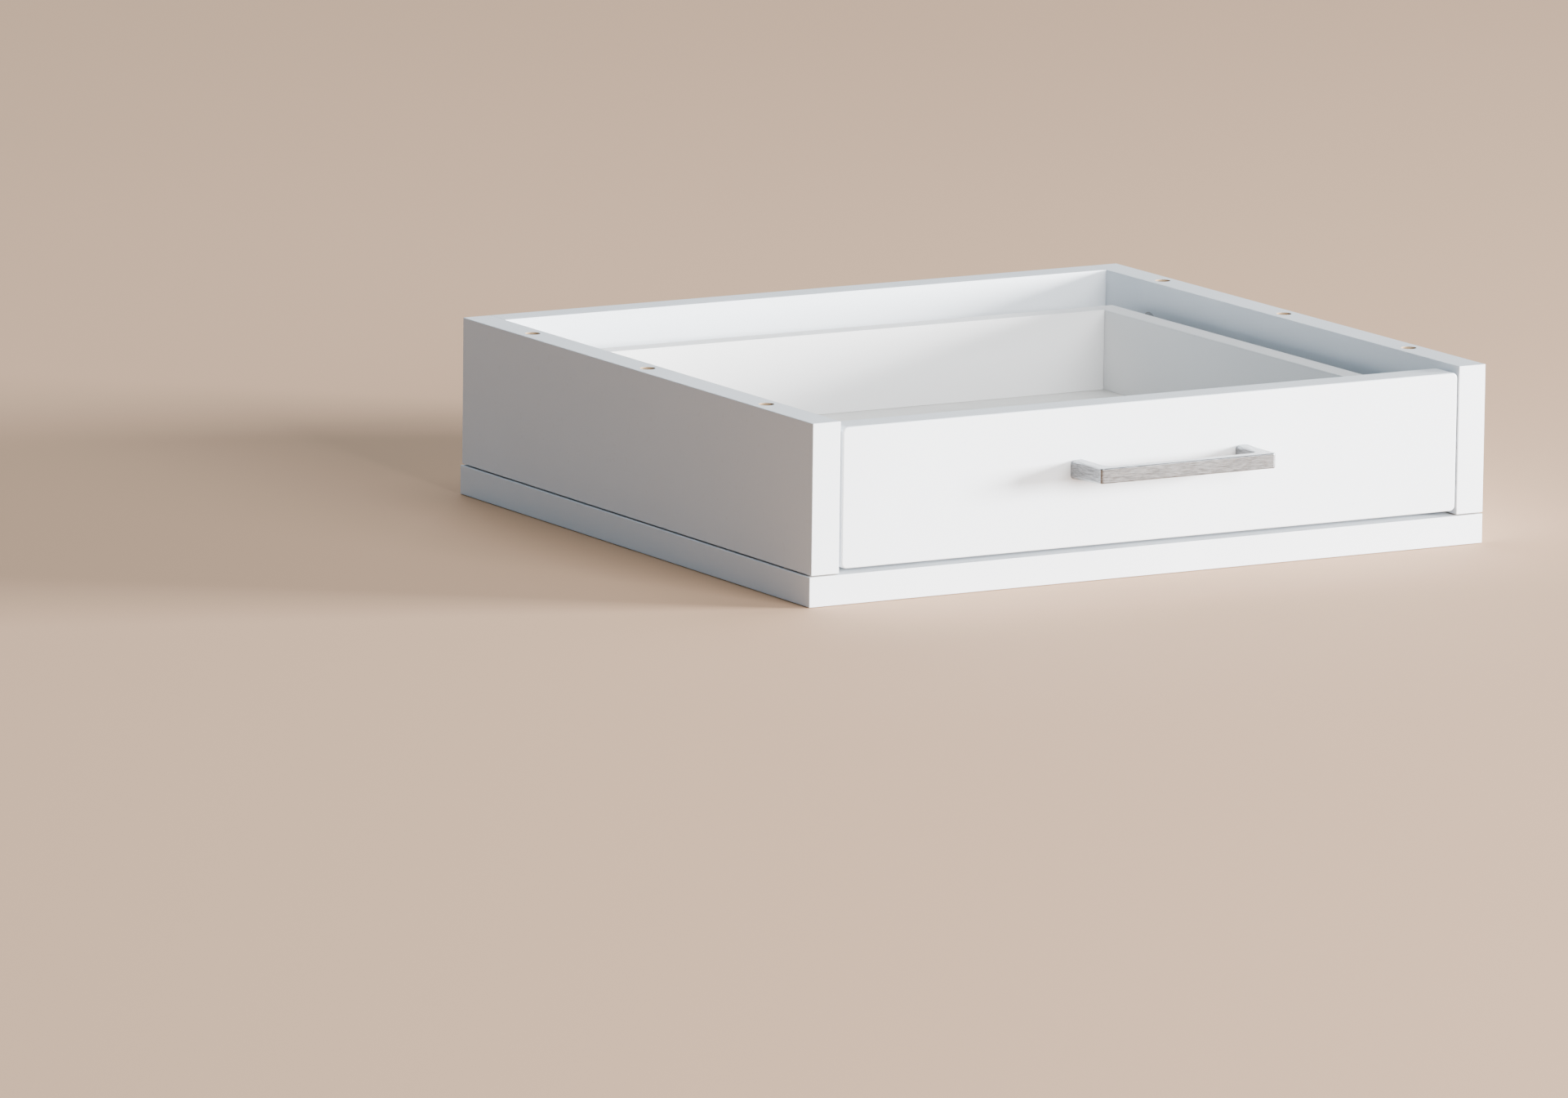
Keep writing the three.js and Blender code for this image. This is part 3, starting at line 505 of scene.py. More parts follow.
# Fittings: one shape of each kind, then a copy wherever the frame has one. The shapes stand below z = 0,
# with their working face at the top, and +Y is the side that a cam opens on.
fittingSizes = {
    "cam": {"radius": 7.5, "depth": 12.5, "mouth": 7.0},
    "drawerCam": {"radius": 6.0, "depth": 9.5, "mouth": 6.0},
    "stud": {"thread": 2.5, "threadLength": 10.5, "neck": 1.6, "head": 2.6, "headLength": 3.0, "collar": 3.2},
    "connector": {
        "length": 50.0, "head": 4.9, "headLength": 3.5, "shank": 3.4, "thread": 3.1,
        "key": 2.3, "socket": 2.6,
    },
    "railScrew": {"length": 12.0, "shank": 1.6, "head": 3.25, "headHeight": 1.0, "tip": 3.0},
    "backScrew": {"length": 30.0, "shank": 1.7, "head": 3.4, "headHeight": 2.0, "tip": 4.0},
    "handleScrew": {"length": 23.0, "shank": 1.9, "head": 4.0, "headHeight": 2.5, "tip": 1.0},
    "axle": {"radius": 2.0, "head": 3.25, "web": 1.25, "journal": 6.9, "cap": 0.75, "rim": 0.35},
    "dowel": {"flutes": 20, "fluteDepth": 0.28, "chamfer": 0.9},
}


def inMetres(profile):
    return [(radius * mm, height * mm) for radius, height in profile]


def crossRecess(reach, width, depth):  # a driver's cross, narrower at the bottom
    bars = []
    for quarterTurn in (0, 1):
        bar = softBlock((-reach * mm, -width / 2 * mm, -depth * mm), (reach * mm, width / 2 * mm, mm))
        for vertex in bar.verts:
            if vertex.co.z < -depth / 2 * mm:
                vertex.co.x *= 0.45
                vertex.co.y *= 0.8
        bar.transform(Matrix.Rotation(quarterTurn * math.pi / 2, 4, "Z"))
        bars.append(bar)
    return bars


def threads(radius, bottom, top, pitch=1.3, bite=0.16):  # ridges, listed upwards
    count = int((top - bottom) / pitch)
    ridges = []
    for k in range(count):
        height = bottom + pitch * k
        ridges += [(radius * (1 - bite), height), (radius, height + pitch * 0.5)]
    return ridges + [(radius * (1 - bite), top)]


def camShape(sizes):
    radius, depth, mouth = sizes["radius"], sizes["depth"], sizes["mouth"]
    profile = rounded([(0, -depth), (radius, -depth), (radius, 0), (0, 0)], 0.5, 3)
    cam = makePiece("cam", lathe(inMetres(profile), 56), [cast])
    half, beyond = mouth / 2 * mm, (radius + 1) * mm
    channel = softBlock((-half, -half, (-depth - 1) * mm), (half, beyond, -3 * mm))
    arrowY = (radius - 1.5) * mm
    notch = rod(Vector((0, arrowY, -0.4 * mm)), Vector((0, arrowY, mm)), 0.75 * mm, 3)
    return shade(carve(cam, [channel, notch, *crossRecess(radius * 0.55, 1.5, 2.0)]))


def studShape(sizes, reach):  # reach is from the board's face to the middle of the head
    thread, collar, neck, head = (sizes[part] for part in ("thread", "collar", "neck", "head"))
    headBase = reach - sizes["headLength"] / 2
    top, tip = headBase + sizes["headLength"], -sizes["threadLength"]
    profile = [(0, tip), (thread * 0.5, tip), *threads(thread, tip + 1.5, -0.2)]
    profile += [(collar, 0), (collar, 1.5), (neck, 2.3), (neck, headBase - 0.8)]
    profile += [(head, headBase), (head, headBase + 2), (head * 0.6, top), (0, top)]
    return shade(makePiece("stud", lathe(inMetres([(r, h - top) for r, h in profile]), 28), [plated]))


def panScrewShape(sizes):
    head, rise = sizes["head"], sizes["headHeight"]
    length = sizes["length"] + rise
    threaded = threads(sizes["shank"], -length + sizes["tip"], -rise - 0.2, 1.2)
    dome = rounded([(head, -rise), (head, -rise * 0.55), (head * 0.72, 0), (0, 0)], 1.0, 5)
    profile = [(0, -length), *threaded, *[(p.x, p.y) for p in dome]]
    screw = makePiece("panScrew", lathe(inMetres(profile), 32), [plated])
    return shade(carve(screw, crossRecess(head * 0.5, 0.75, rise * 0.75)))


def countersunkShape(sizes):
    head, rise = sizes["head"], sizes["headHeight"]
    threaded = threads(sizes["shank"], -sizes["length"] + sizes["tip"], -rise, 1.4)
    profile = [(0, -sizes["length"]), *threaded, (head, -0.3), (head - 0.1, 0), (0, 0)]
    screw = makePiece("countersunkScrew", lathe(inMetres(profile), 32), [plated])
    return shade(carve(screw, crossRecess(head * 0.52, 0.85, 1.3)))


def connectorShape(sizes):  # driven upwards, so its head is the top here
    head, headLength, length = sizes["head"], sizes["headLength"], sizes["length"]
    threaded = threads(sizes["thread"], -length + 3, -13, 2.6, 0.12)
    flat = rounded([(sizes["shank"], -headLength), (head, -headLength + 1), (head, 0), (0, 0)], 0.4, 3)
    profile = [(0, -length), (0.8, -length), *threaded, (sizes["shank"], -12), *[(p.x, p.y) for p in flat]]
    screw = makePiece("connectorScrew", lathe(inMetres(profile), 40), [plated])
    socket = rod(Vector((0, 0, -sizes["socket"] * mm)), Vector((0, 0, mm)), sizes["key"] * mm, 6)
    return shade(carve(screw, [socket]))


def axleShape(sizes, node):  # riveted into a web below, with a collar, the roller's journal and a head above
    low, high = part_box(node)
    length = (high.x - low.x) / mm
    radius, head, web = sizes["radius"], sizes["head"], sizes["web"]
    cap = length - sizes["cap"]
    collar = cap - sizes["journal"]  # up to the roller
    profile = [(0, 0), (radius, 0), (radius, web), (head, web), (head, collar), (radius, collar)]
    profile += [(radius, cap), (head, cap), (head, length - sizes["rim"]), (radius, length), (0, length)]
    return shade(makePiece("axle", lathe(inMetres([(r, h - length) for r, h in profile]), 32), [plated]))


def newTree(name, sockets):  # a Geometry Nodes tree with named inputs, and a function that adds a node
    tree = bpy.data.node_groups.new(name, "GeometryNodeTree")
    tree.interface.new_socket("Geometry", in_out="INPUT", socket_type="NodeSocketGeometry")
    for socket, kind in sockets.items():
        tree.interface.new_socket(socket, in_out="INPUT", socket_type="NodeSocket" + kind)
    tree.interface.new_socket("Geometry", in_out="OUTPUT", socket_type="NodeSocketGeometry")

    def add(kind, settings=None, inputs=None):
        node = tree.nodes.new(kind)
        for name, setting in (settings or {}).items():
            setattr(node, name, setting)
        for name, value in (inputs or {}).items():
            if isinstance(value, bpy.types.NodeSocket):
                tree.links.new(value, node.inputs[name])
            else:
                node.inputs[name].default_value = value
        return node

    return tree, add


def copyToPoints(add, given, shape):  # one copy on every point, turned as the point's "turn" says
    turn = add("GeometryNodeInputNamedAttribute", {"data_type": "FLOAT_VECTOR"}, {"Name": "turn"})
    spin = add("FunctionNodeEulerToRotation", {}, {"Euler": turn.outputs["Attribute"]}).outputs["Rotation"]
    places = {"Points": given["Geometry"], "Instance": shape, "Rotation": spin}
    copies = add("GeometryNodeInstanceOnPoints", {}, places).outputs["Instances"]
    real = add("GeometryNodeRealizeInstances", {}, {"Geometry": copies}).outputs["Geometry"]
    dressed = add("GeometryNodeSetMaterial", {}, {"Geometry": real, "Material": given["Finish"]})
    add("NodeGroupOutput", {}, {"Geometry": dressed.outputs["Geometry"]})


def fittingTree():  # puts one fitting on every point
    tree, add = newTree("fittingsInPlace", {"Fitting": "Object", "Finish": "Material"})
    given = add("NodeGroupInput").outputs
    fitting = add("GeometryNodeObjectInfo", {}, {"Object": given["Fitting"]})
    copyToPoints(add, given, fitting.outputs["Geometry"])
    return tree


def dowelTree():  # fluted pegs with chamfered ends, one on every point
    sizes = dict.fromkeys(("Radius", "Length", "Flute Depth", "Chamfer"), "Float")
    tree, add = newTree("flutedDowels", {**sizes, "Flutes": "Int", "Finish": "Material"})
    given = add("NodeGroupInput").outputs

    def maths(operation, *terms):
        node = add("ShaderNodeMath", {"operation": operation}, dict(enumerate(terms)))
        return node.outputs[0]

    facets = maths("MULTIPLY", given["Flutes"], 6.0)
    peg = add("GeometryNodeMeshCylinder", {"fill_type": "NGON"}, {
        "Vertices": facets, "Side Segments": 24, "Radius": given["Radius"], "Depth": given["Length"],
    })
    at = add("ShaderNodeSeparateXYZ", {}, {"Vector": add("GeometryNodeInputPosition").outputs[0]}).outputs
    angle = maths("MULTIPLY", maths("ARCTAN2", at["Y"], at["X"]), given["Flutes"])
    wave = maths("POWER", maths("MULTIPLY_ADD", maths("COSINE", angle), 0.5, 0.5), 3.0)
    toEnd = maths("SUBTRACT", maths("MULTIPLY", given["Length"], 0.5), maths("ABSOLUTE", at["Z"]))
    cham = maths("MAXIMUM", maths("SUBTRACT", given["Chamfer"], toEnd), 0.0)
    loss = maths("ADD", maths("MULTIPLY", wave, given["Flute Depth"]), cham)
    share = maths("SUBTRACT", 1.0, maths("DIVIDE", loss, given["Radius"]))
    spot = add("ShaderNodeCombineXYZ", {}, {
        "X": maths("MULTIPLY", at["X"], share), "Y": maths("MULTIPLY", at["Y"], share), "Z": at["Z"],
    })
    placed = {"Geometry": peg.outputs["Mesh"], "Position": spot.outputs[0]}
    fluted = add("GeometryNodeSetPosition", {}, placed)
    copyToPoints(add, given, fluted.outputs["Geometry"])
    return tree


def turnTo(outward, opening=None):  # +Z goes outward and +Y towards the opening
    z = Vector(outward)
    y = Vector(opening or ((0, 1, 0) if abs(z.z) > 0.5 else (0, 0, 1)))
    return Matrix((y.cross(z), y, z)).transposed().to_euler()


def pointsAt(name, places):  # a mesh of bare points, each with its turn
    mesh = bpy.data.meshes.new(name)
    mesh.from_pydata([spot for spot, _ in places], [], [])
    turns = mesh.attributes.new("turn", "FLOAT_VECTOR", "POINT")
    turns.data.foreach_set("vector", [angle for _, turn in places for angle in turn])
    piece = bpy.data.objects.new(name, mesh)
    scene.collection.objects.link(piece)
    return piece


def grow(piece, tree, values):  # runs a tree on the piece and keeps the plain mesh
    step = piece.modifiers.new("grow", "NODES")
    step.node_group = tree
    for item in tree.interface.items_tree:
        if item.in_out == "INPUT" and item.name in values:
            step[item.identifier] = values[item.name]
    return settle(piece)


fittingsInPlace, flutedDowels = fittingTree(), dowelTree()


fittingFinishes = {"plated_steel": plated, "cast_zinc": cast}


def fit(name, shape, body, slot, fittings):  # fittings maps a node to (outward, opening)
    places = []
    for node, (outward, opening) in fittings.items():
        low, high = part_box(node)
        middle, half = (low + high) / 2, (high - low) / 2
        face = [middle[i] + outward[i] * half[i] for i in range(3)]
        places.append((face, turnTo(outward, opening)))
    piece = grow(pointsAt(name, places), fittingsInPlace, {"Fitting": shape, "Finish": fittingFinishes[slot]})
    bpy.data.objects.remove(shape)
    return give(piece, body, slot, *fittings)


def fitDowels(name, body, nodes):
    sizes = fittingSizes["dowel"]
    places = []
    for node in nodes:
        low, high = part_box(node)
        size = high - low
        along = max(range(3), key=lambda i: size[i])
        length, radius = size[along], min(size) / 2
        places.append(((low + high) / 2, turnTo([float(i == along) for i in range(3)])))
    values = {"Radius": radius, "Length": length, "Flutes": sizes["flutes"], "Finish": beech}
    values.update({"Flute Depth": sizes["fluteDepth"] * mm, "Chamfer": sizes["chamfer"] * mm})
    piece = grow(pointsAt(name, places), flutedDowels, values)
    return give(shade(piece), body, "beech", *nodes)


right, back, up = (1, 0, 0), (0, 1, 0), (0, 0, 1)
left, forward, down = (-1, 0, 0), (0, -1, 0), (0, 0, -1)
hands = {"left": (right, left), "right": (left, right)}  # for each side: inwards, outwards


def fitCase():
    sizes = fittingSizes
    cams, connectors, studs, screws, axles = {}, {}, {}, {}, {}
    for side, (inner, outer) in hands.items():
        for k in (1, 2):
            cams[f"{side}_top_cam_{k}"] = (inner, up)
            connectors[f"{side}_connector_screw_{k}"] = (down, None)
            screws[f"{side}_case_rail_screw_{k}"] = (inner, None)
        cams[f"{side}_back_cam"] = (back, outer)
        studs[f"{side}_back_stud"] = (inner, None)
        axles[f"{side}_front_axle"] = (inner, None)
    fit("caseCams", camShape(sizes["cam"]), "housing", "cast_zinc", cams)
    fit("connectorScrews", connectorShape(sizes["connector"]), "housing", "plated_steel", connectors)
    fit("backStuds", studShape(sizes["stud"], 24), "housing", "plated_steel", studs)
    fit("caseRailScrews", panScrewShape(sizes["railScrew"]), "housing", "plated_steel", screws)
    fit("frontAxles", axleShape(sizes["axle"], "left_front_axle"), "housing", "plated_steel", axles)
    dowels = [f"{side}_bottom_dowel_{k}" for side in hands for k in (1, 2)]
    fitDowels("caseDowels", "housing", dowels + [f"{side}_back_dowel" for side in hands])


def fitDrawer():
    sizes = fittingSizes
    cams, studs, backScrews, railScrews, handleScrews, axles = {}, {}, {}, {}, {}, {}
    for side, (inner, outer) in hands.items():
        for k in (1, 2):
            backScrews[f"{side}_drawer_back_screw_{k}"] = (outer, None)
            railScrews[f"{side}_drawer_rail_screw_{k}"] = (down, None)
        cams[f"{side}_drawer_cam"] = (outer, forward)
        studs[f"{side}_drawer_stud"] = (back, None)
        handleScrews[f"{side}_handle_screw"] = (back, None)
        axles[f"{side}_rear_axle"] = (outer, None)
    fit("drawerCams", camShape(sizes["drawerCam"]), "drawer", "cast_zinc", cams)
    fit("drawerStuds", studShape(sizes["stud"], 24), "drawer", "plated_steel", studs)
    fit("backScrews", countersunkShape(sizes["backScrew"]), "drawer", "plated_steel", backScrews)
    fit("drawerRailScrews", panScrewShape(sizes["railScrew"]), "drawer", "plated_steel", railScrews)
    fit("handleScrews", panScrewShape(sizes["handleScrew"]), "drawer", "plated_steel", handleScrews)
    fit("rearAxles", axleShape(sizes["axle"], "left_rear_axle"), "drawer", "plated_steel", axles)
    fitDowels("drawerDowels", "drawer", [f"{side}_drawer_dowel" for side in hands])


fitCase()
fitDrawer()
print("fittings placed")


# Boards: softened blocks with a bore for every fitting that enters them.
boardLook = {
    "caseSoftness": 0.35 * mm, "drawerSoftness": 0.5 * mm, "sheetSoftness": 0.2 * mm,
    "seam": 0.7 * mm, "play": 0.1 * mm, "overrun": 0.4 * mm,
}
boreRadii = {
    "shank": 1.7, "connector": 3.5, "connectorHead": 5.0, "stud": 2.6, "studPassage": 4.0, "handle": 2.25,
    "drawerStudPassage": 3.5, "backScrew": 1.8, "deskDowel": 4.0,
}
boreDepths = {"deskDowel": 21 * mm}
grooveRoom = Vector((0.5, 0.5, 0.125)) * mm


def boreFor(node, axis, radius=None):  # along the fitting, a little longer than it
    low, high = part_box(node)
    start, end = (low + high) / 2, (low + high) / 2
    start[axis] = low[axis] - boardLook["overrun"]
    end[axis] = high[axis] + boardLook["overrun"]
    across = min((high - low)[i] for i in range(3) if i != axis) / 2
    return rod(start, end, radius * mm if radius else across + boardLook["play"])


def makeBoard(node, body, slot, finishes, cutters, softness, seam=0.0, rawBelow=False):
    low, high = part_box(node)
    high.z -= seam
    board = makePiece(pieceName(node), softBlock(low, high, softness), finishes)
    for face in board.data.polygons:
        face.material_index = 1 if rawBelow and face.normal.z < -0.9 else 0
    return give(shade(carve(board, cutters)), body, slot, node)


caseFinishes, drawerFinishes = [lacquer, bareBoard], [facing, bareBoard]  # faces, then cuts


def makeBottomPanel():
    cutters = []
    for side in hands:
        for k in (1, 2):
            screw = f"{side}_connector_screw_{k}"
            low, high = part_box(screw)
            middle = (low + high) / 2
            headEnd = low.z + fittingSizes["connector"]["headLength"] * mm + boardLook["overrun"]
            start = Vector((middle.x, middle.y, low.z - mm))
            cutters.append(rod(start, Vector((middle.x, middle.y, headEnd)), boreRadii["connectorHead"] * mm))
            cutters.append(boreFor(screw, 2, boreRadii["connector"]))
            cutters.append(boreFor(f"{side}_bottom_dowel_{k}", 2))
    softness, seam = boardLook["caseSoftness"], boardLook["seam"]
    makeBoard("bottom_panel", "housing", "case_board", caseFinishes, cutters, softness, seam)


def makeUpright(side):
    low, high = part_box(f"{side}_upright")
    middle, above = (low + high) / 2, high.z + mm
    depth = Vector((middle.x, middle.y, high.z - boreDepths["deskDowel"]))
    cutters = [rod(depth, Vector((middle.x, middle.y, above)), boreRadii["deskDowel"] * mm)]
    for k in (1, 2):
        cam = f"{side}_top_cam_{k}"
        centre = sum(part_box(cam), Vector()) / 2
        start, end = Vector((middle.x, centre.y, centre.z)), Vector((middle.x, centre.y, above))
        cutters.append(boreFor(cam, 0))
        cutters.append(rod(start, end, boreRadii["studPassage"] * mm))
        cutters.append(boreFor(f"{side}_connector_screw_{k}", 2, boreRadii["connector"]))
        cutters.append(boreFor(f"{side}_bottom_dowel_{k}", 2))
        cutters.append(boreFor(f"{side}_case_rail_screw_{k}", 0, boreRadii["shank"]))
    cutters.append(boreFor(f"{side}_back_stud", 0, boreRadii["stud"]))
    cutters.append(boreFor(f"{side}_back_dowel", 0))
    softness = boardLook["caseSoftness"]
    makeBoard(f"{side}_upright", "housing", "case_board", caseFinishes, cutters, softness, rawBelow=True)


def makeBackPanel():
    cutters = []
    for side in hands:
        cutters.append(boreFor(f"{side}_back_cam", 1))
        cutters.append(boreFor(f"{side}_back_stud", 0, boreRadii["studPassage"]))
        cutters.append(boreFor(f"{side}_back_dowel", 0))
    makeBoard("back_panel", "housing", "case_board", caseFinishes, cutters, boardLook["caseSoftness"])


def bottomGroove():  # the room for the drawer's bottom sheet, in all four boards round it
    low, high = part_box("drawer_bottom")
    return softBlock(low - grooveRoom, high + grooveRoom)


def makeDrawerSide(side):
    cutters = [bottomGroove(), boreFor(f"{side}_drawer_cam", 0)]
    cutters.append(boreFor(f"{side}_drawer_stud", 1, boreRadii["drawerStudPassage"]))
    cutters.append(boreFor(f"{side}_drawer_dowel", 1))
    sunk = fittingSizes["backScrew"]
    outward = -inwards[side]
    for k in (1, 2):
        screw = f"{side}_drawer_back_screw_{k}"
        low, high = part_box(screw)
        middle = (low + high) / 2
        face = high.x if outward > 0 else low.x
        mouth = Vector((face + outward * 0.1 * mm, middle.y, middle.z))
        neck = Vector((face - outward * sunk["headHeight"] * mm, middle.y, middle.z))
        cutters.append(rod(neck, mouth, boreRadii["shank"] * mm, 40, (sunk["head"] + 0.25) * mm))
        cutters.append(boreFor(screw, 0, boreRadii["backScrew"]))
        cutters.append(boreFor(f"{side}_drawer_rail_screw_{k}", 2, boreRadii["shank"]))
    softness = boardLook["drawerSoftness"]
    makeBoard(f"{side}_drawer_side", "drawer", "drawer_board", drawerFinishes, cutters, softness)


def makeDrawerBack():
    cutters = [bottomGroove()]
    screws = [f"{side}_drawer_back_screw_{k}" for side in hands for k in (1, 2)]
    cutters += [boreFor(screw, 0, boreRadii["backScrew"]) for screw in screws]
    makeBoard("drawer_back", "drawer", "drawer_board", drawerFinishes, cutters, boardLook["drawerSoftness"])


def makeDrawerBottom():
    makeBoard("drawer_bottom", "drawer", "drawer_base", [hardboard], [], boardLook["sheetSoftness"])


frontLook = {"cornerRadius": 3.0 * mm, "faceRound": 0.9 * mm, "backRound": 0.5 * mm}


def makeDrawerFront():  # soft all round its face, with small round corners
    low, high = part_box("drawer_front")
    radius = frontLook["cornerRadius"]
    outline = []
    corners = ((high.x, low.z, -90), (high.x, high.z, 0), (low.x, high.z, 90), (low.x, low.z, 180))
    for x, z, start in corners:
        centre = Vector((x - radius if x == high.x else x + radius, z + radius if z == low.z else z - radius))
        for k in range(9):
            angle = math.radians(start + 90 * k / 8)
            outline.append(centre + Vector((math.cos(angle), math.sin(angle))) * radius)
    rings = pillow(outline, low.y, high.y, frontLook["faceRound"], frontLook["backRound"])
    front = makePiece("drawerFront", loft([[(u, w, v) for u, v, w in ring] for ring in rings]), caseFinishes)
    cutters = [bottomGroove()]
    for side in hands:
        cutters.append(boreFor(f"{side}_handle_screw", 1, boreRadii["handle"]))
        cutters.append(boreFor(f"{side}_drawer_stud", 1, boreRadii["stud"]))
        cutters.append(boreFor(f"{side}_drawer_dowel", 1))
    give(shade(carve(front, cutters), 40), "drawer", "case_board", "drawer_front")


makeBottomPanel()
makeBackPanel()
makeDrawerBack()
makeDrawerBottom()
makeDrawerFront()
for hand in hands:
    makeUpright(hand)
    makeDrawerSide(hand)
print("boards made")


# The handle: a square bow whose feet deepen and soften towards the drawer.
handleLook = {
    "foot": 7.0, "bar": 6.0, "height": 7.75, "outerRadius": 2.0, "innerRadius": 10.0, "edge": 0.55,
}
handleFeet = {  # how far from the drawer a foot changes, and by how much
    "reach": 10.0, "down": 0.45, "up": 0.1, "softer": 3.0, "spread": 1.3, "flare": 0.35, "flareReach": 8.0,
}


def makeHandle():
    low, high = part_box("handle")
    middle, reach = (low.x + high.x) / 2, (high.y - low.y) / mm
    half = (high.x - low.x) / 2 / mm - handleFeet["spread"]
    foot, height = half - handleLook["foot"], handleLook["height"] / 2
    flare, flareReach = handleFeet["flare"], handleFeet["flareReach"]
    inside = -reach + handleLook["bar"]
    outer = rounded([(-half, 0), (-half, -reach), (half, -reach), (half, 0)], handleLook["outerRadius"], 10)
    steps = (1, 2, 3.5, 5, 7, 9)  # points along each foot
    outer[1:1] = [Vector((-half, -step)) for step in steps]
    outer[-1:-1] = [Vector((half, -step)) for step in reversed(steps)]
    for point in outer:
        share = max(0, 1 + point.y / handleFeet["reach"]) ** 2
        point.x += math.copysign(handleFeet["spread"], point.x) * share
    corners = [(foot, -flareReach), (foot, inside), (-foot, inside), (-foot, -flareReach)]
    under = rounded(corners, handleLook["innerRadius"], 10)
    arch = [Vector((foot - flare * (1 - t) ** 2, -flareReach * t)) for t in (0, 0.15, 0.3, 0.45, 0.6, 0.8)]
    outline = outer + arch + under + [Vector((-p.x, p.y)) for p in reversed(arch)]
    level = low.z / mm + height * (1 + handleFeet["down"])
    quarter = [math.pi / 2 * k / 5 for k in range(6)]
    rings = []
    for side, angles in ((-1, quarter), (1, quarter[::-1])):
        for angle in angles:
            ring = []
            for point, inner in zip(outline, inset(outline, 1)):
                share = max(0, 1 + point.y / handleFeet["reach"]) ** 2
                soft = handleLook["edge"] * (1 + handleFeet["softer"] * share)
                shift = (inner - point) * soft * (1 - math.sin(angle))
                if point.y > -0.01:  # the feet stay flat on the drawer
                    shift.y = 0
                growth = 1 + share * handleFeet["down" if side < 0 else "up"]
                deep = height * growth - soft * (1 - math.cos(angle))
                spot = Vector((point.x + shift.x, point.y + shift.y, level + side * deep)) * mm
                ring.append(spot + Vector((middle, high.y, 0)))
            rings.append(ring)
    handle = makePiece("bowHandle", loft(rings), [nickel])
    give(shade(handle, 50), "drawer", "handle_metal", "handle")


makeHandle()
print("handle made")


# Slides: folded steel, with the rear roller's track in the case and the front roller's runner on the drawer.
railLook = {
    "steel": 1.25 * mm, "bend": 1.1 * mm, "slotRadius": 2.2 * mm, "slotLength": 7.0 * mm, "axlePlay": 0.1,
    "slots": (78, 158, 268), "stopFrom": 70,  # from the case's front
    "stopDrop": 2.25 * mm,
}
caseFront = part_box("bottom_panel")[0].y


def folded(path, start, end):  # a strip of steel along a bent path of (x, z), from y = start to end
    line = rounded(path, railLook["bend"], 6)
    half = railLook["steel"] / 2
    sideA, sideB = [], []
    for i, point in enumerate(line):
        along = (line[min(i + 1, len(line) - 1)] - line[max(i - 1, 0)]).normalized()
        across = Vector((-along.y, along.x)) * half
        sideA.append(point + across)
        sideB.append(point - across)
    outline = sideA + sideB[::-1]
    return loft([[(p.x, y, p.y) for p in outline] for y in (start, end)])


def makeCaseRail(side):
    low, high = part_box(f"{side}_case_rail")
    inward, half = inwards[side], railLook["steel"] / 2
    wall = low.x if inward > 0 else high.x
    tip = wall + inward * (high.x - low.x)
    web = wall + inward * half
    path = [(tip, low.z + half), (web, low.z + half), (web, high.z - half), (tip, high.z - half)]
    rail = makePiece(f"{side}CaseRail", folded(path, low.y, high.y), [powderCoat])
    stopY = caseFront + railLook["stopFrom"] * mm
    insideWeb = wall + inward * (railLook["steel"] + 0.02 * mm)
    xs = sorted((insideWeb, tip + inward * mm))
    openFront = softBlock((xs[0], low.y - mm, high.z - 2 * half - 0.02 * mm), (xs[1], stopY, high.z + mm))
    carve(rail, [openFront])
    xs = sorted((wall + inward * 0.9 * mm, tip - inward * 0.05 * mm))
    stopLow = (xs[0], stopY + 0.01 * mm, high.z - 2 * half - railLook["stopDrop"])
    stopHigh = (xs[1], stopY + 2 * half, high.z - 0.3 * mm)
    carve(rail, [softBlock(stopLow, stopHigh, 0.15 * mm)], "UNION")
    cutters = [boreFor(f"{side}_case_rail_screw_{k}", 0, boreRadii["shank"]) for k in (1, 2)]
    cutters.append(boreFor(f"{side}_front_axle", 0, fittingSizes["axle"]["radius"] + railLook["axlePlay"]))
    screwLow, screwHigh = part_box(f"{side}_case_rail_screw_1")
    for slotY in railLook["slots"]:
        cutters.append(slotCutter(wall, caseFront + slotY * mm, (screwLow.z + screwHigh.z) / 2))
    carve(rail, cutters)
    give(shade(rail), "housing", "coated_steel", f"{side}_case_rail")


def slotCutter(x, y, z):  # a round-ended slot through the web
    radius, half = railLook["slotRadius"], railLook["slotLength"] / 2
    rings = []
    for reach in (-3 * mm, 3 * mm):
        ring = []
        for k in range(24):
            angle = 2 * math.pi * (k + 0.5) / 24
            shift = half if math.cos(angle) > 0 else -half
            ring.append((x + reach, y + shift + radius * math.cos(angle), z + radius * math.sin(angle)))
        rings.append(ring)
    return loft(rings)


def makeDrawerRail(side):
    low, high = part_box(f"{side}_drawer_rail")
    inward, half = inwards[side], railLook["steel"] / 2
    flange, leg = (low.x, high.x) if inward > 0 else (high.x, low.x)
    sideLow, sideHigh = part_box(f"{side}_drawer_side")
    web = leg - inward * (sideHigh.x - sideLow.x - mm + half)
    path = [(leg, low.z + half), (web, low.z + half), (web, high.z - half), (flange, high.z - half)]
    rail = makePiece(f"{side}DrawerRail", folded(path, low.y, high.y), [powderCoat])
    cutters = [boreFor(f"{side}_drawer_rail_screw_{k}", 2, boreRadii["shank"]) for k in (1, 2)]
    cutters.append(boreFor(f"{side}_rear_axle", 0, fittingSizes["axle"]["radius"] + railLook["axlePlay"]))
    carve(rail, cutters)
    give(shade(rail), "drawer", "coated_steel", f"{side}_drawer_rail")


rollerLook = {"bore": 2.1, "hub": 4.0, "rim": 1.75, "dish": 0.75, "slope": 0.5, "soft": 0.36}


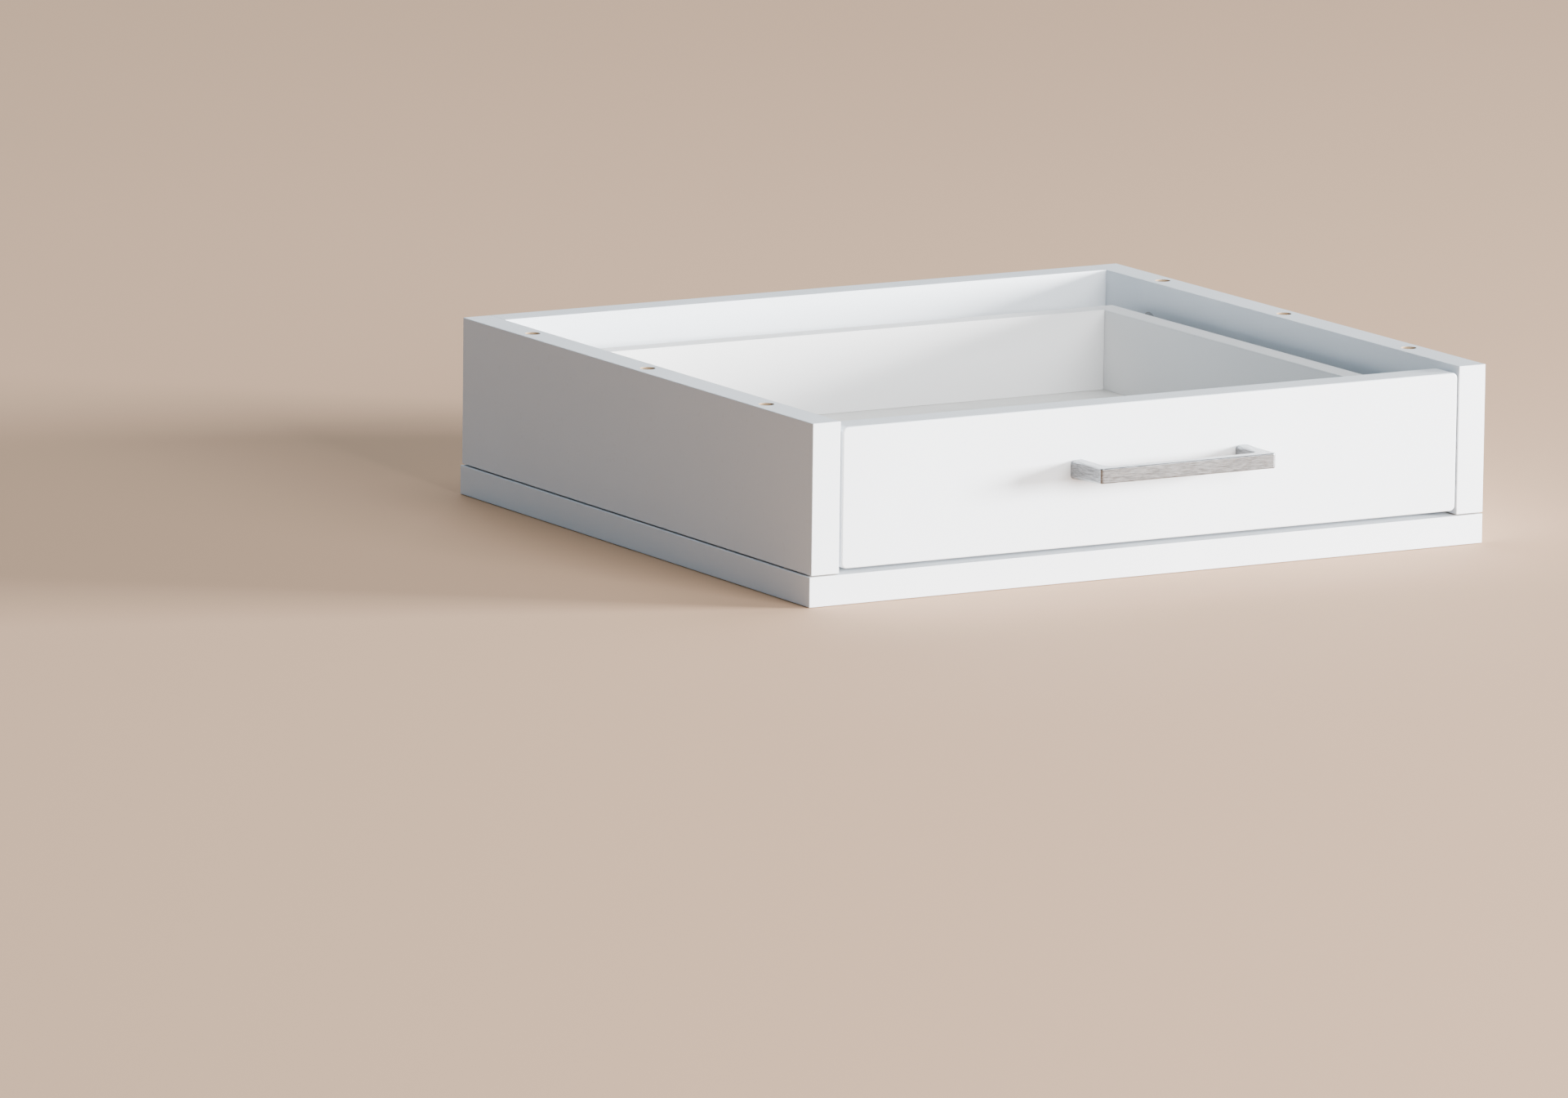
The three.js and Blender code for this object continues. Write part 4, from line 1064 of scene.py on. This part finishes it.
def makeRoller(node):
    low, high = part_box(node)
    width, radius = (high.x - low.x) / mm, (high.z - low.z) / 2 / mm
    bore, hub, slope = rollerLook["bore"], rollerLook["hub"], rollerLook["slope"]
    rim, half = radius - rollerLook["rim"], width / 2
    dished = half - rollerLook["dish"]
    upper = [(bore, half), (hub, half), (hub + slope, dished)]
    upper += [(rim - slope, dished), (rim, half), (radius, half)]
    profile = [Vector(p) for p in upper] + [Vector((r, -h)) for r, h in reversed(upper)]
    soft = rounded(profile, rollerLook["soft"], 3, closed=True)
    shape = lathe(inMetres(soft), 72, ringShaped=True)
    shape.transform(Matrix.Translation((low + high) / 2) @ Matrix.Rotation(math.pi / 2, 4, "Y"))
    roller = makePiece(pieceName(node), shape, [nylon])
    give(shade(roller, 40), node, "nylon", node)


for hand in hands:
    makeCaseRail(hand)
    makeDrawerRail(hand)
    makeRoller(f"{hand}_front_roller")
    makeRoller(f"{hand}_rear_roller")
print("slides made")


# Studio: a plain pale floor, a soft key low on the right, a front lamp, and weak ones above, behind and left.
studio = {
    "floor": (0.55, 0.345, 0.212, 1), "floorShade": 0.97, "floorCloud": 0.5,
    "floorReach": 30, "floorDrop": 0.3 * mm,
    "air": (0.55, 0.93, 1.3, 1), "airStrength": 0.17,
}
lamps = {  # power, size, place, colour
    "key": (1800, (1.8, 0.9), (4.24, -2.65, 0.62), (1, 1, 1)),
    "front": (330, (2.2, 1.4), (0.5, -4.0, 1.2), (1, 1, 1)),
    "top": (44, (2.5, 2.5), (0.2, 0.0, 2.8), (1, 1, 1)),
    "rear": (45, (2.0, 1.2), (1.4, 3.4, 2.2), (1, 1, 1)),
    "side": (7.5, (2.0, 1.0), (-2.8, 1.3, 0.6), (0.45, 0.8, 1.05)),
}


def makeFloor():
    finish = Finish("studioFloor", {"Roughness": 0.9})
    cloud = finish.noise(studio["floorCloud"], 2)
    shaded = [part * studio["floorShade"] for part in studio["floor"][:3]]
    finish.colour(finish.mix(cloud, studio["floor"], (*shaded, 1)))
    shape = bmesh.new()
    bmesh.ops.create_grid(shape, x_segments=8, y_segments=8, size=studio["floorReach"])
    bmesh.ops.translate(shape, vec=(0, 0, cadBox[0].z - studio["floorDrop"]), verts=shape.verts)
    floor = makePiece("floor", shape, [finish.material])


def hangLamp(name, power, size, place, colour, target=(0, 0, 0.05)):
    lamp = bpy.data.lights.new(name, "AREA")
    lamp.shape, lamp.size, lamp.size_y, lamp.energy = "RECTANGLE", size[0], size[1], power
    lamp.color = colour
    light = bpy.data.objects.new(name, lamp)
    light.location = place
    light.rotation_euler = (Vector(target) - Vector(place)).to_track_quat("-Z", "Y").to_euler()
    scene.collection.objects.link(light)


def makeWorld():
    world = bpy.data.worlds.new("studioAir")
    world.use_nodes = True
    air = world.node_tree.nodes["Background"].inputs
    air["Color"].default_value, air["Strength"].default_value = studio["air"], studio["airStrength"]
    scene.world = world


cameraLook = {
    "lens": 301.9, "sensor": 36, "farthest": 200,
    "place": (-3.4647, -5.7122, 1.2108), "yaw": 30.37, "pitch": 10.4, "roll": 0.66,
}


def makeCamera():
    lens = bpy.data.cameras.new("camera")
    lens.lens, lens.sensor_width = cameraLook["lens"], cameraLook["sensor"]
    lens.clip_end = cameraLook["farthest"]
    camera = bpy.data.objects.new("camera", lens)
    yaw, pitch, roll = (math.radians(cameraLook[turn]) for turn in ("yaw", "pitch", "roll"))
    along = Vector((math.sin(yaw) * math.cos(pitch), math.cos(yaw) * math.cos(pitch), -math.sin(pitch)))
    level = Vector((math.cos(yaw), -math.sin(yaw), 0))
    upright = level.cross(along)
    across = level * math.cos(roll) + upright * math.sin(roll)
    above = upright * math.cos(roll) - level * math.sin(roll)
    turn = Matrix((across, above, -along)).transposed().to_4x4()
    camera.matrix_world = Matrix.Translation(cameraLook["place"]) @ turn
    scene.collection.objects.link(camera)
    scene.camera = camera


makeFloor()
for lampName, lampSetting in lamps.items():
    hangLamp(lampName, *lampSetting)
makeWorld()
makeCamera()
print("studio lit")
